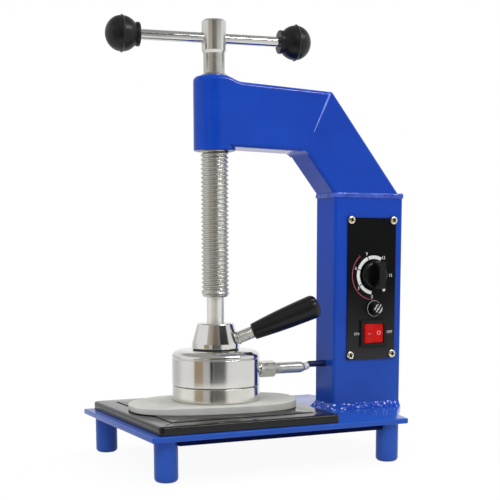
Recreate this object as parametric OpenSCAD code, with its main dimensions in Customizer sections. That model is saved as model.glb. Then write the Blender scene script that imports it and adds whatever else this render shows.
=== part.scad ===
/* [Base] */
// Length of the square part of the base plate
base_l = 266; // [255:1:275]
// Width of the base plate
base_w = 204; // [190:1:230]
// Thickness of the base plate
base_t = 5; // [4:0.5:7]
// Length of the first slanted step of the tail
tail_slant = 6.3; // [4:0.1:10]
// Depth of the first slanted step of the tail
tail_step = 27.5; // [20:0.5:34]
// Tail edge left beside the column on each side
tail_margin = 2; // [1:0.5:6]
// Diameter of a foot
foot_d = 22; // [18:0.5:26]
// Height of a foot
foot_h = 38.5; // [30:0.5:50]
// Left foot centres in from the left end of the base
foot_in_l = 18.7; // [16:0.1:24]
// Right foot centres in from the right end of the base
foot_in_r = 13.8; // [13.5:0.1:20]
// Foot centre in from the sides of the base
foot_in_y = 17; // [15:0.5:24]
// Radius of the lower edge of a foot
foot_edge = 4; // [1:0.1:5]
// Leg of the weld at the top of a foot
foot_weld = 1.5; // [1:0.1:3]
// Height of a stiffener rail
rail_h = 3.5; // [3:0.5:10]
// Thickness of a stiffener rail
rail_t = 8; // [5:0.5:10]
// Rail set back from the edge of the base
rail_in = 6.5; // [5:0.5:8]

/* [Platen] */
// Tray set in from the left end of the base
tray_in = 9; // [6:0.5:14]
// Length of the tray
tray_l = 183; // [174:1:184]
// Width of the tray
tray_w = 194; // [178:1:198]
// Height of the tray
tray_h = 9; // [8:0.5:14]
// Radius of the upright corners of the tray
tray_r = 4; // [4:0.5:10]
// Radius of the upper edge of the tray
tray_edge = 2.4; // [1:0.1:3]
// Width of the rim round the insert
rim_w = 18; // [14:0.5:24]
// Groove between rim and insert
groove = 1.6; // [0.6:0.1:2]
// Rim of the tray below the insert
rim_drop = 0.6; // [0:0.1:1.2]
// Thickness of the insert
insert_t = 5; // [3:0.5:6]
// Length of the work pad
pad_l = 167.5; // [130:0.5:168]
// Width of the work pad
pad_w = 102.5; // [90:0.5:120]
// Height of the work pad
pad_h = 7.2; // [4:0.1:12]
// Turn of the pad on the tray
pad_yaw = -8.8; // [-20:0.1:20]
// Pad middle along the base from the head axis
pad_dx = -5.6; // [-8:0.1:4]
// Pad middle across the base from the head axis
pad_dy = -5; // [-8:0.5:8]

/* [Column] */
// Head axis in from the left end of the base
head_in = 105.4; // [98:0.1:112]
// Clear distance from head axis to column
throat = 122.9; // [118:0.1:130]
// Width of the column
col_w = 80.7; // [78:0.1:90]
// Depth of the column and the arm
col_d = 40; // [40:0.5:46]
// Wall of the column and the arm
wall = 4; // [3:0.1:5]
// Outer corner radius of the column
col_r = 3; // [3:0.5:6]
// Height of the column above the base
col_h = 218; // [212:1:228]
// Brace set in from the left face of the column
brace_in = 0.7; // [0:0.1:1.5]
// Leg of the weld at the foot of the column
col_weld = 6; // [3:0.5:8]
// Radius of the weld bead at the top of the column
bead_r = 1.2; // [1:0.1:3]

/* [Arm] */
// Underside of the arm above the base
arm_up = 260; // [255:1:275]
// Height of the arm and brace section
arm_h = 60; // [56:1:62]
// Corner radius of the arm section
arm_r = 4; // [3:0.5:6]
// Slope of the brace
brace_angle = 51; // [49:0.5:55]
// Radius of the ground outer corner
bend_r = 13; // [8:1:24]
// Radius of the ground inner corner
inner_r = 10; // [8:1:24]
// Side overlap of the boss over the arm
boss_side = 0.3; // [0.3:0.1:1.5]
// Boss height above the arm
boss_rise = 7; // [4:0.1:9]
// Boss height below the arm
boss_drop = 2.6; // [2:0.1:6]
// Radius of the upper edge of the boss
boss_edge = 4.5; // [3:0.5:6]
// Fall of the top of the arm towards the brace in degrees
arm_fall = 2.1; // [0:0.1:2.5]
// Fall of the underside of the arm towards the brace in degrees
arm_fall_low = 1.2; // [0:0.1:1.5]
// Start of the curved step from the head axis
step_in = 3; // [2.5:0.5:6]
// Length of the curved step down to the arm
step_l = 18.5; // [14:0.5:24]
// Outer diameter of the screw nut
nut_d = 33; // [31:0.5:35]

/* [Screw] */
// Outer diameter of the lead screw
screw_d = 27; // [23:0.5:28]
// Running clearance in every bore
run = 0.05; // [0.02:0.01:0.1]
// Diameter of the spindle
spindle_d = 17; // [14:0.5:18]
// Free length of the spindle above the collar
spindle_l = 25.5; // [20:0.5:30]
// Diameter of the neck
neck_d = 20.5; // [17:0.5:21]
// Length of the neck
neck_l = 19.5; // [12:0.1:26]
// Diameter of the screw head
crown_d = 23.6; // [21:0.1:26]
// Height of the screw head
crown_h = 29.5; // [24:0.5:34]
// Bar axis above the lower edge of the screw head
bar_up = 13; // [10:0.1:16]
// Thread left standing above the boss
thread_over = 1.2; // [0.5:0.1:4]
// Height of the run-out at the top of the thread
thread_cut = 1.8; // [1:0.1:4]
// Diameter of the captive button
button_d = 24; // [21:0.5:26]
// Height of the captive button
button_h = 5; // [4:0.5:6]

/* [Tommy bar] */
// Diameter of the bar
bar_d = 9.6; // [8:0.1:11]
// Turn of the bar
bar_yaw = -9; // [-60:1:60]
// Half distance between the ball centres
ball_half = 85; // [70:0.5:86]
// Slide of the bar from its middle
bar_shift = -3.6; // [-6:0.1:6]
// Diameter of a ball knob
ball_d = 32.4; // [30:0.1:40]
// Ball knob length beyond its centre
ball_end = 15.4; // [14:0.1:17]
// Height of the seam round a ball knob
ball_seam = 1; // [0.5:0.1:1.5]
// Diameter of the ball knob collar
ferrule_d = 22; // [18:0.5:24]
// Collar reach from the ball centre
ferrule_l = 16.8; // [16:0.1:22]
// Depth of the bar in a ball knob
ball_bore = 14; // [10:0.5:18]

/* [Head] */
// Diameter of the heating head
plate_d = 87; // [80:1:92]
// Height of the heating plate
plate_h = 14.7; // [11:0.1:18]
// Straight height of the heater housing
house_h = 28.5; // [26:0.5:34]
// Height of the rounded shoulder
shoulder_h = 6.7; // [6:0.1:11]
// Width of the rounded shoulder
shoulder_w = 12.5; // [9:0.5:15]
// Wall of the housing
house_wall = 3; // [2:0.1:4]
// Thickness of the insulation disc
disc_t = 1; // [0.8:0.1:2]
// Lower diameter of the collar
collar_d = 47; // [43:0.1:50]
// Upper diameter of the collar
collar_top_d = 36.2; // [32:0.1:40]
// Straight height of the collar
collar_band = 5; // [4:0.5:8]
// Height of the collar cone
collar_h = 20; // [18:0.5:26]
// Thickness of the thrust washer
washer_t = 2; // [1.5:0.1:3]
// Thickness of the heating element
element_t = 6; // [4:0.5:8]
// Outer diameter of the heating element
element_d = 68; // [60:1:72]
// Diameter of the thermostat
stat_d = 18; // [14:0.5:22]

/* [Handle] */
// Diameter of the handle stud
stud_d = 12; // [9:0.1:13]
// Diameter of the spigots of the stud
spigot_d = 7; // [6:0.1:8]
// Depth of the stud in the grip
stud_in = 40; // [30:1:50]
// Turn of the handle
lever_yaw = -20; // [-30:1:0]
// Rise of the handle
lever_rise = 22.1; // [18:0.1:25]
// Handle axis at the head axis above the collar foot
lever_up = 0.9; // [0.5:0.1:3]
// Start of the grip from the head axis
grip_s = 40; // [37:0.1:43]
// Length of the grip
grip_l = 70; // [60:0.5:80]
// Grip diameter at the root
grip_root = 16.2; // [14:0.1:18]
// Grip diameter at the end
grip_tip = 23.6; // [20:0.1:26]
// Swell of the grip along its length
grip_swell = 0.7; // [0:0.1:1.5]
// Radius of the end of the grip
grip_end = 6.5; // [4:0.1:8]

/* [Heater lead] */
// Width over flats of the gland nut
gland_af = 15; // [13.6:0.1:18]
// Turn of the flats of the gland nut
gland_turn = 9; // [0:1:30]
// Length of the gland nut
gland_l = 16.6; // [15:0.1:20]
// Diameter of the gland neck
gland_d = 11.5; // [10:0.5:12]
// Length of the gland neck
gland_neck = 3.7; // [3.5:0.1:7]
// Diameter of the lead sleeve
sleeve_d = 11.4; // [9:0.1:12]
// Length of the lead sleeve
sleeve_l = 30.5; // [28:0.5:36]
// Length of the taper of the sleeve
sleeve_tip = 4.4; // [3:0.1:6]
// Diameter of the lead
lead_d = 6.4; // [4.5:0.1:7]
// Lead axis below the middle of the housing
lead_drop = 1.1; // [0:0.1:3]
// Rise of the lead to the column
lead_rise = 2.6; // [0:0.1:3]
// Outer diameter of the grommets
grommet_d = 9.4; // [9:0.1:15]

/* [Panel] */
// Width of the panel
panel_w = 57; // [53:0.5:62]
// Column left bare above the panel
panel_gap = 22.5; // [16:0.5:28]
// Thickness of the panel
panel_t = 1.5; // [1.5:0.1:4]
// Lower edge of the panel above the base
panel_up = 50.8; // [46:0.1:58]
// Panel middle to the right of the column middle
panel_dx = 2.7; // [0:0.1:4]
// Controls to the right of the panel middle
ctrl_dx = 2.1; // [0:0.1:4]
// Upper panel screws below the upper edge of the panel
screw_top = 2.2; // [2:0.1:8]
// Lower panel screws above the lower edge of the panel
screw_low = 5; // [2:0.1:8]
// Panel screws in from the sides of the panel
screw_in = 3.4; // [3:0.1:8]
// Diameter of a panel screw head
panel_screw_d = 8.2; // [5:0.1:9]
// Dial centre above the lower edge of the panel
dial_up = 86.8; // [82:0.1:94]
// Diameter of the timer knob
knob_d = 29; // [24:0.5:32]
// Height of the timer knob
knob_h = 18; // [14:0.5:22]
// Width of the grip bar on the knob
knob_bar = 7; // [5:0.5:9]
// Diameter of the timer shaft
shaft_d = 6; // [5:0.5:7]
// Fuse centre above the lower edge of the panel
fuse_up = 52.6; // [50:0.1:55]
// Diameter of the fuse flange
fuse_d = 17; // [16:0.1:19]
// Diameter of the fuse cap
cap_d = 12.6; // [10:0.1:12.8]
// Height of the fuse cap
cap_h = 7; // [4:0.1:9]
// Width of the timer case
timer_w = 32; // [26:0.5:36]
// Height of the timer case
timer_h = 34; // [28:0.5:40]
// Depth of the timer case
timer_d = 24; // [18:0.5:26]
// Switch centre above the lower edge of the panel
switch_up = 27; // [25:0.5:28]
// Width of the switch bezel
bezel_w = 32; // [30:0.5:34]
// Height of the switch bezel
bezel_h = 27.5; // [26:0.5:29]
// Width of the rocker
rocker_w = 24; // [21:0.5:25]
// Height of the rocker
rocker_h = 19.4; // [18:0.1:21.5]
// Tilt of the rocker from its middle
rocker_tilt = 8; // [5:0.5:9]
// Width of the switch case
box_w = 27; // [26:0.1:28]
// Height of the switch case
box_h = 22.4; // [22:0.1:23]

/* [Hidden] */
$fn = 64;
total_l = head_in + throat + col_w;
x0 = -(total_l + bead_r) / 2;
hx = x0 + head_in;
cx = hx + throat;
base_z = foot_h;
fx0 = x0 + foot_in_l;
fx1 = x0 + base_l - foot_in_r;
fy = base_w / 2 - foot_in_y;
base_top = foot_h + base_t;
tail_w = col_d + 2 * tail_margin;
tray_top = base_top + tray_h;
col_top = base_top + col_h;
arm_z = base_top + arm_up;
arm_top = arm_z + arm_h;
mx = cx + brace_in - (arm_z - col_top) / tan(brace_angle);
boss_d = col_d + 2 * boss_side;
boss_z = arm_z - boss_drop;
boss_top = arm_top + boss_rise;
nut_top = arm_top - 2;
fall_x = hx + 0.532 * throat;
fall_low_x = hx + 0.41 * throat;
big = 400;
head_z = tray_top + pad_h;
seam_z = head_z + plate_h;
shoulder_z = seam_z + house_h;
house_top = shoulder_z + shoulder_h;
collar_z = house_top + disc_t;
collar_top = collar_z + collar_band + collar_h;
button_z = collar_z + washer_t;
thread_z = collar_top + spindle_l;
thread_top = boss_top + thread_over;
crown_z = thread_top + thread_cut + neck_l;
bar_z = crown_z + bar_up;
lever_z = collar_z + lever_up;
lead_z = seam_z + house_h / 2 - lead_drop;
r_head = plate_d / 2;
gland_r = r_head + gland_neck;
sleeve_r = gland_r + gland_l;
sleeve_end = sleeve_r + sleeve_l;
bore = lead_d + 0.4;
mid_x = cx + col_w / 2 + panel_dx;
px = mid_x + ctrl_dx;
panel_h = col_h - panel_up - panel_gap;
pz = base_top + panel_up;
py = -col_d / 2 - panel_t;
dial_z = pz + dial_up;
fuse_z = pz + fuse_up;
switch_z = pz + switch_up;
fuse_hole = 13;
col_in_r = 1.5;

module rrect(w, h, r) {
  square([w - 2 * r, h], center = true);
  square([w, h - 2 * r], center = true);
  for (a = [-1, 1], b = [-1, 1])
    translate([a * (w / 2 - r), b * (h / 2 - r)]) circle(r = r);
}

module base_outline() {
  polygon([[x0, -base_w / 2], [x0 + base_l, -base_w / 2],
    [x0 + base_l + tail_slant, -base_w / 2 + tail_step],
    [x0 + total_l, -tail_w / 2], [x0 + total_l, tail_w / 2],
    [x0 + base_l + tail_slant, base_w / 2 - tail_step],
    [x0 + base_l, base_w / 2], [x0, base_w / 2]]);
}

module base_plate()
  color("royalblue") translate([0, 0, base_z])
    linear_extrude(base_t) base_outline();

module rail(s)
  color("royalblue") difference() {
    translate([fx0, s * (base_w / 2 - rail_in - rail_t / 2) - rail_t / 2,
      base_z - rail_h]) cube([fx1 - fx0, rail_t, rail_h]);
    for (x = [fx0, fx1]) foot(x, s * fy);
  }
module front_rail() rail(-1);
module rear_rail() rail(1);

module foot(x, y)
  color("royalblue") translate([x, y, 0]) rotate_extrude()
    polygon(concat([[0, 0]],
      [for (i = [0:6]) [foot_d / 2 - foot_edge + foot_edge * sin(15 * i),
        foot_edge - foot_edge * cos(15 * i)]],
      [[foot_d / 2, foot_h - foot_weld], [foot_d / 2 + foot_weld, foot_h],
        [0, foot_h]]));
module foot_front_left() foot(fx0, -fy);
module foot_front_right() foot(fx1, -fy);
module foot_rear_left() foot(fx0, fy);
module foot_rear_right() foot(fx1, fy);

tx = x0 + tray_in + tray_l / 2;
rim_h = tray_h - rim_drop;
module platen_tray()
  color("dimgray") translate([tx, 0, base_top]) difference() {
    hull() for (a = [-1, 1], b = [-1, 1])
      translate([a * (tray_l / 2 - tray_r), b * (tray_w / 2 - tray_r), 0])
        rotate_extrude($fn = 48) {
          square([tray_r, rim_h - tray_edge]);
          square([tray_r - tray_edge, rim_h]);
          intersection() {
            translate([tray_r - tray_edge, rim_h - tray_edge])
              circle(r = tray_edge, $fn = 32);
            square([tray_r, rim_h]);
          }
        }
    translate([0, 0, tray_h - insert_t]) linear_extrude(insert_t + 1)
      rrect(tray_l - 2 * rim_w, tray_w - 2 * rim_w, 3);
  }

module platen_insert()
  color("dimgray") translate([tx, 0, tray_top - insert_t])
    linear_extrude(insert_t)
      rrect(tray_l - 2 * rim_w - 2 * groove, tray_w - 2 * rim_w - 2 * groove,
        2);

function sgn(v) = v < 0 ? -1 : 1;
function pad_pt(t) = [
  pad_l / 2 * sgn(cos(t)) * pow(abs(cos(t)), 2 / 2.5),
  pad_w / 2 * sgn(sin(t)) * pow(abs(sin(t)), 2 / 2.5)];
module work_pad()
  color("gainsboro") translate([hx + pad_dx, pad_dy, tray_top])
    rotate([0, 0, pad_yaw]) linear_extrude(pad_h)
      polygon([for (i = [0:95]) pad_pt(i * 3.75 + 1.875)]);

module column_solid()
  translate([cx + col_w / 2, 0, base_top]) linear_extrude(col_h)
    rrect(col_w, col_d, col_r);

module front_hole(x, z, d, l)
  translate([x, py - 1, z]) rotate([-90, 0, 0]) cylinder(d = d, h = l);

module switch_cut(g, l)
  translate([px - box_w / 2 - g, py - 1, switch_z - box_h / 2 - g])
    cube([box_w + 2 * g, l, box_h + 2 * g]);

module column()
  color("royalblue") difference() {
    column_solid();
    translate([cx + col_w / 2, 0, base_top - 1]) linear_extrude(col_h + 2)
      rrect(col_w - 2 * wall, col_d - 2 * wall, col_in_r);
    front_hole(px, dial_z, shaft_d + 3, panel_t + wall + 3);
    front_hole(px, fuse_z, fuse_hole, panel_t + wall + 3);
    switch_cut(0.3, panel_t + wall + 3);
    for (a = [-1, 1], b = [0, 1])
      front_hole(mid_x + a * (panel_w / 2 - screw_in),
        pz + screw_low + b * (panel_h - screw_low - screw_top), 3, panel_t + wall + 3);
    translate([cx - 1, 0, lead_z + lead_rise]) rotate([0, 90, 0])
      cylinder(d = grommet_d - 2, h = wall + 3);
    translate([cx + col_w - wall - 2, 0, base_top + 32]) rotate([0, 90, 0])
      cylinder(d = grommet_d + 2, h = wall + 3);
  }

module wrap(w, d, r, pts) {
  for (q = [0, 180]) rotate([0, 0, q]) {
    translate([w / 2 - r, -d / 2, 0]) rotate([90, 0, -90])
      linear_extrude(w - 2 * r) polygon(pts);
    translate([w / 2, d / 2 - r, 0]) rotate([90, 0, 0])
      linear_extrude(d - 2 * r) polygon(pts);
  }
  for (a = [-1, 1], b = [-1, 1])
    translate([a * (w / 2 - r), b * (d / 2 - r), 0]) rotate_extrude()
      polygon(concat([for (p = pts) [p[0] + r, p[1]]],
        [[r / 2, pts[len(pts) - 1][1]], [r / 2, pts[0][1]]]));
}

module column_weld()
  color("royalblue") intersection() {
    difference() {
      translate([cx + col_w / 2, 0, base_top]) wrap(col_w, col_d, col_r,
        [[0, 0], [col_weld, 0], [0.5 * col_weld, 0.35 * col_weld],
          [0, col_weld]]);
      translate([cx + col_w / 2, 0, base_top - 1]) linear_extrude(3 * col_weld)
        rrect(col_w, col_d, col_r);
    }
    translate([0, 0, base_top - 1]) linear_extrude(col_weld + 2)
      base_outline();
  }

module mitre(s)
  translate([mx, 0, arm_z]) rotate([0, brace_angle / 2, 0])
    translate([s < 0 ? -big : 0, -big / 2, -big / 2]) cube(big);

module section_x(l, h, d, r)
  rotate([0, 90, 0]) linear_extrude(l) translate([-arm_h / 2, 0])
    rrect(h, d, r);

function arc_pts(x, z, r, a0, a1) = [for (i = [0:8])
  let (a = a0 + (a1 - a0) * i / 8) [x + r * cos(a), z + r * sin(a)]];

function arm_line(x) = arm_top + tan(arm_fall) * (fall_x - x);
function arm_under(x) = arm_z + tan(arm_fall_low) * (fall_low_x - x);
module bend_cut(r) {
  t = r * tan((brace_angle - arm_fall) / 2);
  ox = mx + arm_h * tan(brace_angle / 2);
  qx = (tan(brace_angle) * ox - tan(arm_fall) * fall_x)
    / (tan(brace_angle) - tan(arm_fall));
  p1 = [qx - t * cos(arm_fall), arm_line(qx - t * cos(arm_fall))];
  c = p1 - r * [sin(arm_fall), cos(arm_fall)];
  n2 = [sin(brace_angle), cos(brace_angle)];
  translate([0, col_d, 0]) rotate([90, 0, 0]) linear_extrude(2 * col_d)
    polygon(concat([c + (r + 20) * n2, [qx + 12, arm_top + 12],
      p1 + 20 * [sin(arm_fall), cos(arm_fall)]],
      arc_pts(c[0], c[1], r, 90 - arm_fall, 90 - brace_angle)));
}

module inner_fill(r) {
  t = r * tan(brace_angle / 2);
  translate([0, col_d / 2 - 0.2, 0]) rotate([90, 0, 0])
    linear_extrude(col_d - 0.4)
      polygon(concat([[mx + t * cos(brace_angle) + arm_r,
        arm_z - t * sin(brace_angle) + arm_r], [mx, arm_z + arm_r + 2],
        [mx - t, arm_z + arm_r]],
        arc_pts(mx - t, arm_z - r, r, 90, 90 - brace_angle)));
}

module brace_outer()
  difference() {
    translate([mx, 0, arm_z]) rotate([0, brace_angle, 0])
      translate([-arm_h, 0, 0]) section_x(4 * arm_h, arm_h, col_d, arm_r);
    mitre(-1);
    translate([cx - big / 2, -big / 2, col_top - big]) cube(big);
  }

module brace()
  color("royalblue") difference() {
    union() {
      brace_outer();
      difference() {
        inner_fill(inner_r);
        mitre(-1);
      }
    }
    translate([mx, 0, arm_z]) rotate([0, brace_angle, 0])
      translate([-arm_h, 0, 0])
        section_x(5 * arm_h, arm_h - 2 * wall, col_d - 2 * wall, 1.5);
    bend_cut(bend_r);
  }

module brace_weld()
  color("royalblue") difference() {
    translate([cx + col_w / 2, 0, col_top]) wrap(col_w, col_d, col_r,
      [for (i = [0:6]) bead_r * [cos(30 * i - 90), 1.3 * sin(30 * i - 90)]]);
    translate([cx + col_w / 2, 0, col_top - 20]) linear_extrude(40)
      rrect(col_w, col_d, col_r);
    brace_outer();
  }

xs = hx + step_in;
function step_top(x) = let (u = min(1, max(0, (x - xs) / step_l)))
  arm_line(x) + (boss_top - 0.15 - arm_line(xs)) * (1 + cos(180 * u)) / 2;
arm_x = concat([hx + 1.5], [for (k = [0:12]) xs + step_l * k / 12],
  [mx + 2 * arm_h]);
function arm_ring(x) = [for (q = [0:3], i = [0:9])
  let (a = q * 90 + i * 10, r = x < xs + step_l / 2 ? boss_edge : arm_r,
    y = (q == 0 || q == 3 ? 1 : -1) * (col_d / 2 - r) + r * cos(a),
    z = (q < 2 ? step_top(x) - r : arm_under(x) + r) + r * sin(a)) [x, y, z]];
module arm_loft() {
  n = len(arm_x);
  m = 40;
  polyhedron(
    points = [for (k = [0:n - 1]) each arm_ring(arm_x[k])],
    faces = concat(
      [[for (i = [0:m - 1]) i]], [[for (i = [m - 1:-1:0]) (n - 1) * m + i]],
      [for (k = [0:n - 2], i = [0:m - 1])
        [k * m + i, (k + 1) * m + i, (k + 1) * m + (i + 1) % m]],
      [for (k = [0:n - 2], i = [0:m - 1])
        [k * m + i, (k + 1) * m + (i + 1) % m, k * m + (i + 1) % m]]));
}

module boss_solid()
  translate([hx, 0, boss_z]) rotate_extrude() {
    h = boss_top - boss_z;
    square([boss_d / 2 - boss_edge, h]);
    translate([0, 1]) square([boss_d / 2, h - boss_edge - 1]);
    intersection() {
      translate([boss_d / 2 - boss_edge, h - boss_edge])
        circle(r = boss_edge);
      square([boss_d, h + 1]);
    }
    polygon([[0, 0], [boss_d / 2 - 1, 0], [boss_d / 2, 1], [0, 1]]);
  }

module arm()
  color("royalblue") difference() {
    union() {
      difference() {
        arm_loft();
        mitre(1);
      }
      difference() {
        inner_fill(inner_r);
        mitre(1);
      }
      difference() {
        boss_solid();
        translate([hx + 2, -big / 2, arm_top - 10]) cube(big);
      }
    }
    difference() {
      translate([hx + boss_d / 2 + 2, 0, arm_z])
        section_x(3 * arm_h, arm_h - 2 * wall, col_d - 2 * wall, 1.5);
      translate([hx, 0, boss_z]) cylinder(d = boss_d, h = 2 * arm_h);
    }
    bend_cut(bend_r);
    translate([hx, 0, boss_z - 1])
      cylinder(d = nut_d, h = nut_top - boss_z + 1);
    translate([hx, 0, boss_z - 1])
      cylinder(d = screw_d + 0.6, h = 2 * arm_h);
  }

module screw_nut()
  color("darkgoldenrod") translate([hx, 0, boss_z]) difference() {
    cylinder(d = nut_d, h = nut_top - boss_z);
    translate([0, 0, -1])
      cylinder(d = screw_d + 2 * run, h = nut_top - boss_z + 2);
  }

module control_panel()
  color("black") difference() {
    translate([mid_x, -col_d / 2, pz + panel_h / 2]) rotate([90, 0, 0])
      linear_extrude(panel_t) rrect(panel_w, panel_h, 1);
    front_hole(px, dial_z, shaft_d + 3, panel_t + 2);
    front_hole(px, fuse_z, fuse_hole, panel_t + 2);
    switch_cut(0.3, panel_t + 2);
    for (a = [-1, 1], b = [0, 1])
      front_hole(mid_x + a * (panel_w / 2 - screw_in),
        pz + screw_low + b * (panel_h - screw_low - screw_top), 3, panel_t + 2);
  }

module panel_screws()
  color("goldenrod") for (a = [-1, 1], b = [0, 1])
    translate([mid_x + a * (panel_w / 2 - screw_in), py,
      pz + screw_low + b * (panel_h - screw_low - screw_top)])
      rotate([90, 0, 0]) rotate_extrude() {
        translate([0, -panel_t - wall]) square([1.5, panel_t + wall + 1]);
        polygon([[0, 0], [panel_screw_d / 2, 0], [panel_screw_d / 2, 1],
          [panel_screw_d / 2 - 0.9, 2], [0, 2.5]]);
      }

module timer_body()
  color("ivory") difference() {
    union() {
      translate([px - timer_w / 2, -col_d / 2 + wall, dial_z - timer_h / 2])
        cube([timer_w, timer_d, timer_h]);
      translate([px, py, dial_z]) rotate([-90, 0, 0])
        cylinder(d = shaft_d + 2, h = panel_t + wall + 2);
    }
    front_hole(px, dial_z, shaft_d + 2 * run, panel_t + wall + 12);
  }

module fuse_body()
  color("#222222") translate([px, py, fuse_z]) rotate([90, 0, 0])
    rotate_extrude() difference() {
      union() {
        translate([0, -panel_t - wall - 20])
          square([fuse_hole / 2 - 0.1, panel_t + wall + 20]);
        square([fuse_d / 2 - 0.8, 3]);
        square([fuse_d / 2, 2.2]);
      }
      translate([0, -panel_t - wall - 17])
        square([3, panel_t + wall + 30]);
      translate([0, -3]) square([cap_d / 2 - 0.7, 30]);
    }

module fuse_link()
  color("silver") translate([px, -col_d / 2 + wall + 16.8, fuse_z])
    rotate([90, 0, 0]) {
      cylinder(d = 5.2, h = 5);
      translate([0, 0, 5]) cylinder(d = 4.8, h = 9);
      translate([0, 0, 14]) cylinder(d = 5.2, h = 4);
    }

module switch_body()
  color("#222222") difference() {
    union() {
      translate([px, py, switch_z]) rotate([90, 0, 0]) {
        linear_extrude(1.6) rrect(bezel_w, bezel_h, 1.5);
        linear_extrude(2.4) rrect(bezel_w - 1.6, bezel_h - 1.6, 1);
      }
      translate([px - box_w / 2, py - 0.5, switch_z - box_h / 2])
        cube([box_w, panel_t + wall + 18, box_h]);
    }
    translate([px - rocker_w / 2 - 0.5, py - 4,
      switch_z - rocker_h / 2 - 0.4])
      cube([rocker_w + 1, 13, rocker_h + 0.8]);
  }

module lead_grommet()
  color("#1c1c1c") translate([cx, 0, lead_z + lead_rise]) rotate([0, 90, 0])
    rotate_extrude() difference() {
      union() {
        square([grommet_d / 2 - 1, wall + 1]);
        translate([0, wall]) square([grommet_d / 2, 1.5]);
      }
      translate([-1, -20]) square([lead_d / 2 + 1.1, 40]);
    }

module inlet_grommet()
  color("#1c1c1c") translate([cx + col_w, 0, base_top + 32])
    rotate([0, -90, 0]) rotate_extrude() difference() {
      union() {
        square([grommet_d / 2 + 1, wall]);
        translate([0, wall]) square([grommet_d / 2 + 2.2, 2]);
      }
      translate([-1, -20]) square([5.2, 40]);
    }

module heating_plate()
  color("silver") translate([hx, 0, head_z]) rotate_extrude()
    polygon([[0, 0], [r_head - 0.8, 0], [r_head, 0.8],
      [r_head, plate_h - 0.5], [r_head - 0.5, plate_h], [0, plate_h]]);

module heating_element()
  color("peru") translate([hx, 0, seam_z]) difference() {
    cylinder(d = element_d, h = element_t);
    translate([0, 0, -1]) cylinder(d = stat_d + 10, h = element_t + 2);
  }

module thermostat()
  color("gray") translate([hx, 0, seam_z]) {
    cylinder(d = stat_d, h = element_t);
    cylinder(d = stat_d - 6, h = element_t + 5);
  }

module element_cover()
  color("khaki") translate([hx, 0, seam_z + element_t]) difference() {
    cylinder(d = element_d + 4, h = 5);
    translate([0, 0, -1]) cylinder(d = stat_d + 8, h = 7);
  }

function dome_pt(i, g) = let (a = 90 * i / 12)
  [r_head - shoulder_w + (shoulder_w - g) * cos(a),
    house_h + (shoulder_h - g) * sin(a)];
module dome(g)
  rotate_extrude()
    polygon(concat([[0, 0], [r_head - g, 0]],
      [for (i = [0:12]) dome_pt(i, g)], [[0, house_h + shoulder_h - g]]));

module heater_housing()
  color("silver") translate([hx, 0, seam_z]) difference() {
    dome(0);
    translate([0, 0, -1]) cylinder(r = r_head - house_wall, h = 2);
    dome(house_wall);
    translate([0, 0, lead_z - seam_z]) rotate([0, 90, 0])
      cylinder(d = gland_d, h = plate_d);
  }

module insulation_disc()
  color("#202020") translate([hx, 0, house_top])
    cylinder(d = collar_d - 2, h = disc_t);

module thrust_washer()
  color("darkgoldenrod") translate([hx, 0, collar_z])
    cylinder(d = button_d, h = washer_t);

module stud_place()
  translate([hx, 0, lever_z]) rotate([0, 0, lever_yaw])
    rotate([0, 90 - lever_rise, 0]) children();

stud_s = button_d / 2 + 3.5;
stud_b = collar_d / 2 - 2;
module collar()
  color("silver") difference() {
    translate([hx, 0, collar_z]) rotate_extrude()
      polygon([[0, 0], [collar_d / 2 - 0.6, 0], [collar_d / 2, 0.6],
        [collar_d / 2, collar_band], [collar_top_d / 2, collar_band + collar_h
        - 0.8], [collar_top_d / 2 - 0.8, collar_band + collar_h],
        [0, collar_band + collar_h]]);
    translate([hx, 0, collar_z - 1])
      cylinder(d = spindle_d + 2 * run, h = 2 * collar_h);
    translate([hx, 0, collar_z - 1])
      cylinder(d = button_d + 0.6, h = 1 + washer_t + button_h + 0.4);
    stud_place() {
      translate([0, 0, stud_s]) cylinder(d = spigot_d, h = 60);
      translate([0, 0, stud_b]) cylinder(d = stud_d, h = 60);
    }
  }

module handle_stud()
  color("silver") stud_place() {
    translate([0, 0, stud_s])
      cylinder(d = spigot_d, h = grip_s + stud_in - stud_s);
    translate([0, 0, stud_b]) cylinder(d = stud_d, h = grip_s - stud_b);
  }

function grip_pt(i) = let (u = i / 10)
  [grip_root / 2 + (grip_tip - grip_root) / 2 * u
    + grip_swell * sin(180 * u), 0.8 + (grip_l - grip_end - 0.8) * u];
module handle_grip()
  color("#1a1a1a") stud_place() translate([0, 0, grip_s]) difference() {
    rotate_extrude()
      polygon(concat([[0, 0], [grip_root / 2 - 0.8, 0]],
        [for (i = [0:10]) grip_pt(i)],
        [for (i = [1:6]) [grip_tip / 2 - grip_end + grip_end * cos(15 * i),
          grip_l - grip_end + grip_end * sin(15 * i)]], [[0, grip_l]]));
    translate([0, 0, -1]) cylinder(d = spigot_d, h = stud_in + 1);
  }

module along_lead()
  translate([hx, 0, lead_z]) rotate([0, 90, 0]) children();

module gland_neck_ring()
  color("silver") along_lead() translate([0, 0, r_head - house_wall - 1])
    difference() {
      cylinder(d = gland_d, h = gland_neck + house_wall + 1);
      translate([0, 0, -1])
        cylinder(d = bore, h = gland_neck + house_wall + 3);
    }

module gland_nut()
  color("silver") along_lead() translate([0, 0, gland_r]) difference() {
    intersection() {
      rotate([0, 0, 30 + gland_turn])
        cylinder(d = gland_af / cos(30), h = gland_l, $fn = 6);
      rotate_extrude() polygon([[0, 0], [gland_af / 2, 0],
        [gland_af / 2 + 1.4, 0.9], [gland_af / 2 + 1.4, gland_l - 0.9],
        [gland_af / 2, gland_l], [0, gland_l]]);
    }
    translate([0, 0, -1]) cylinder(d = bore, h = gland_l + 2);
  }

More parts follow.
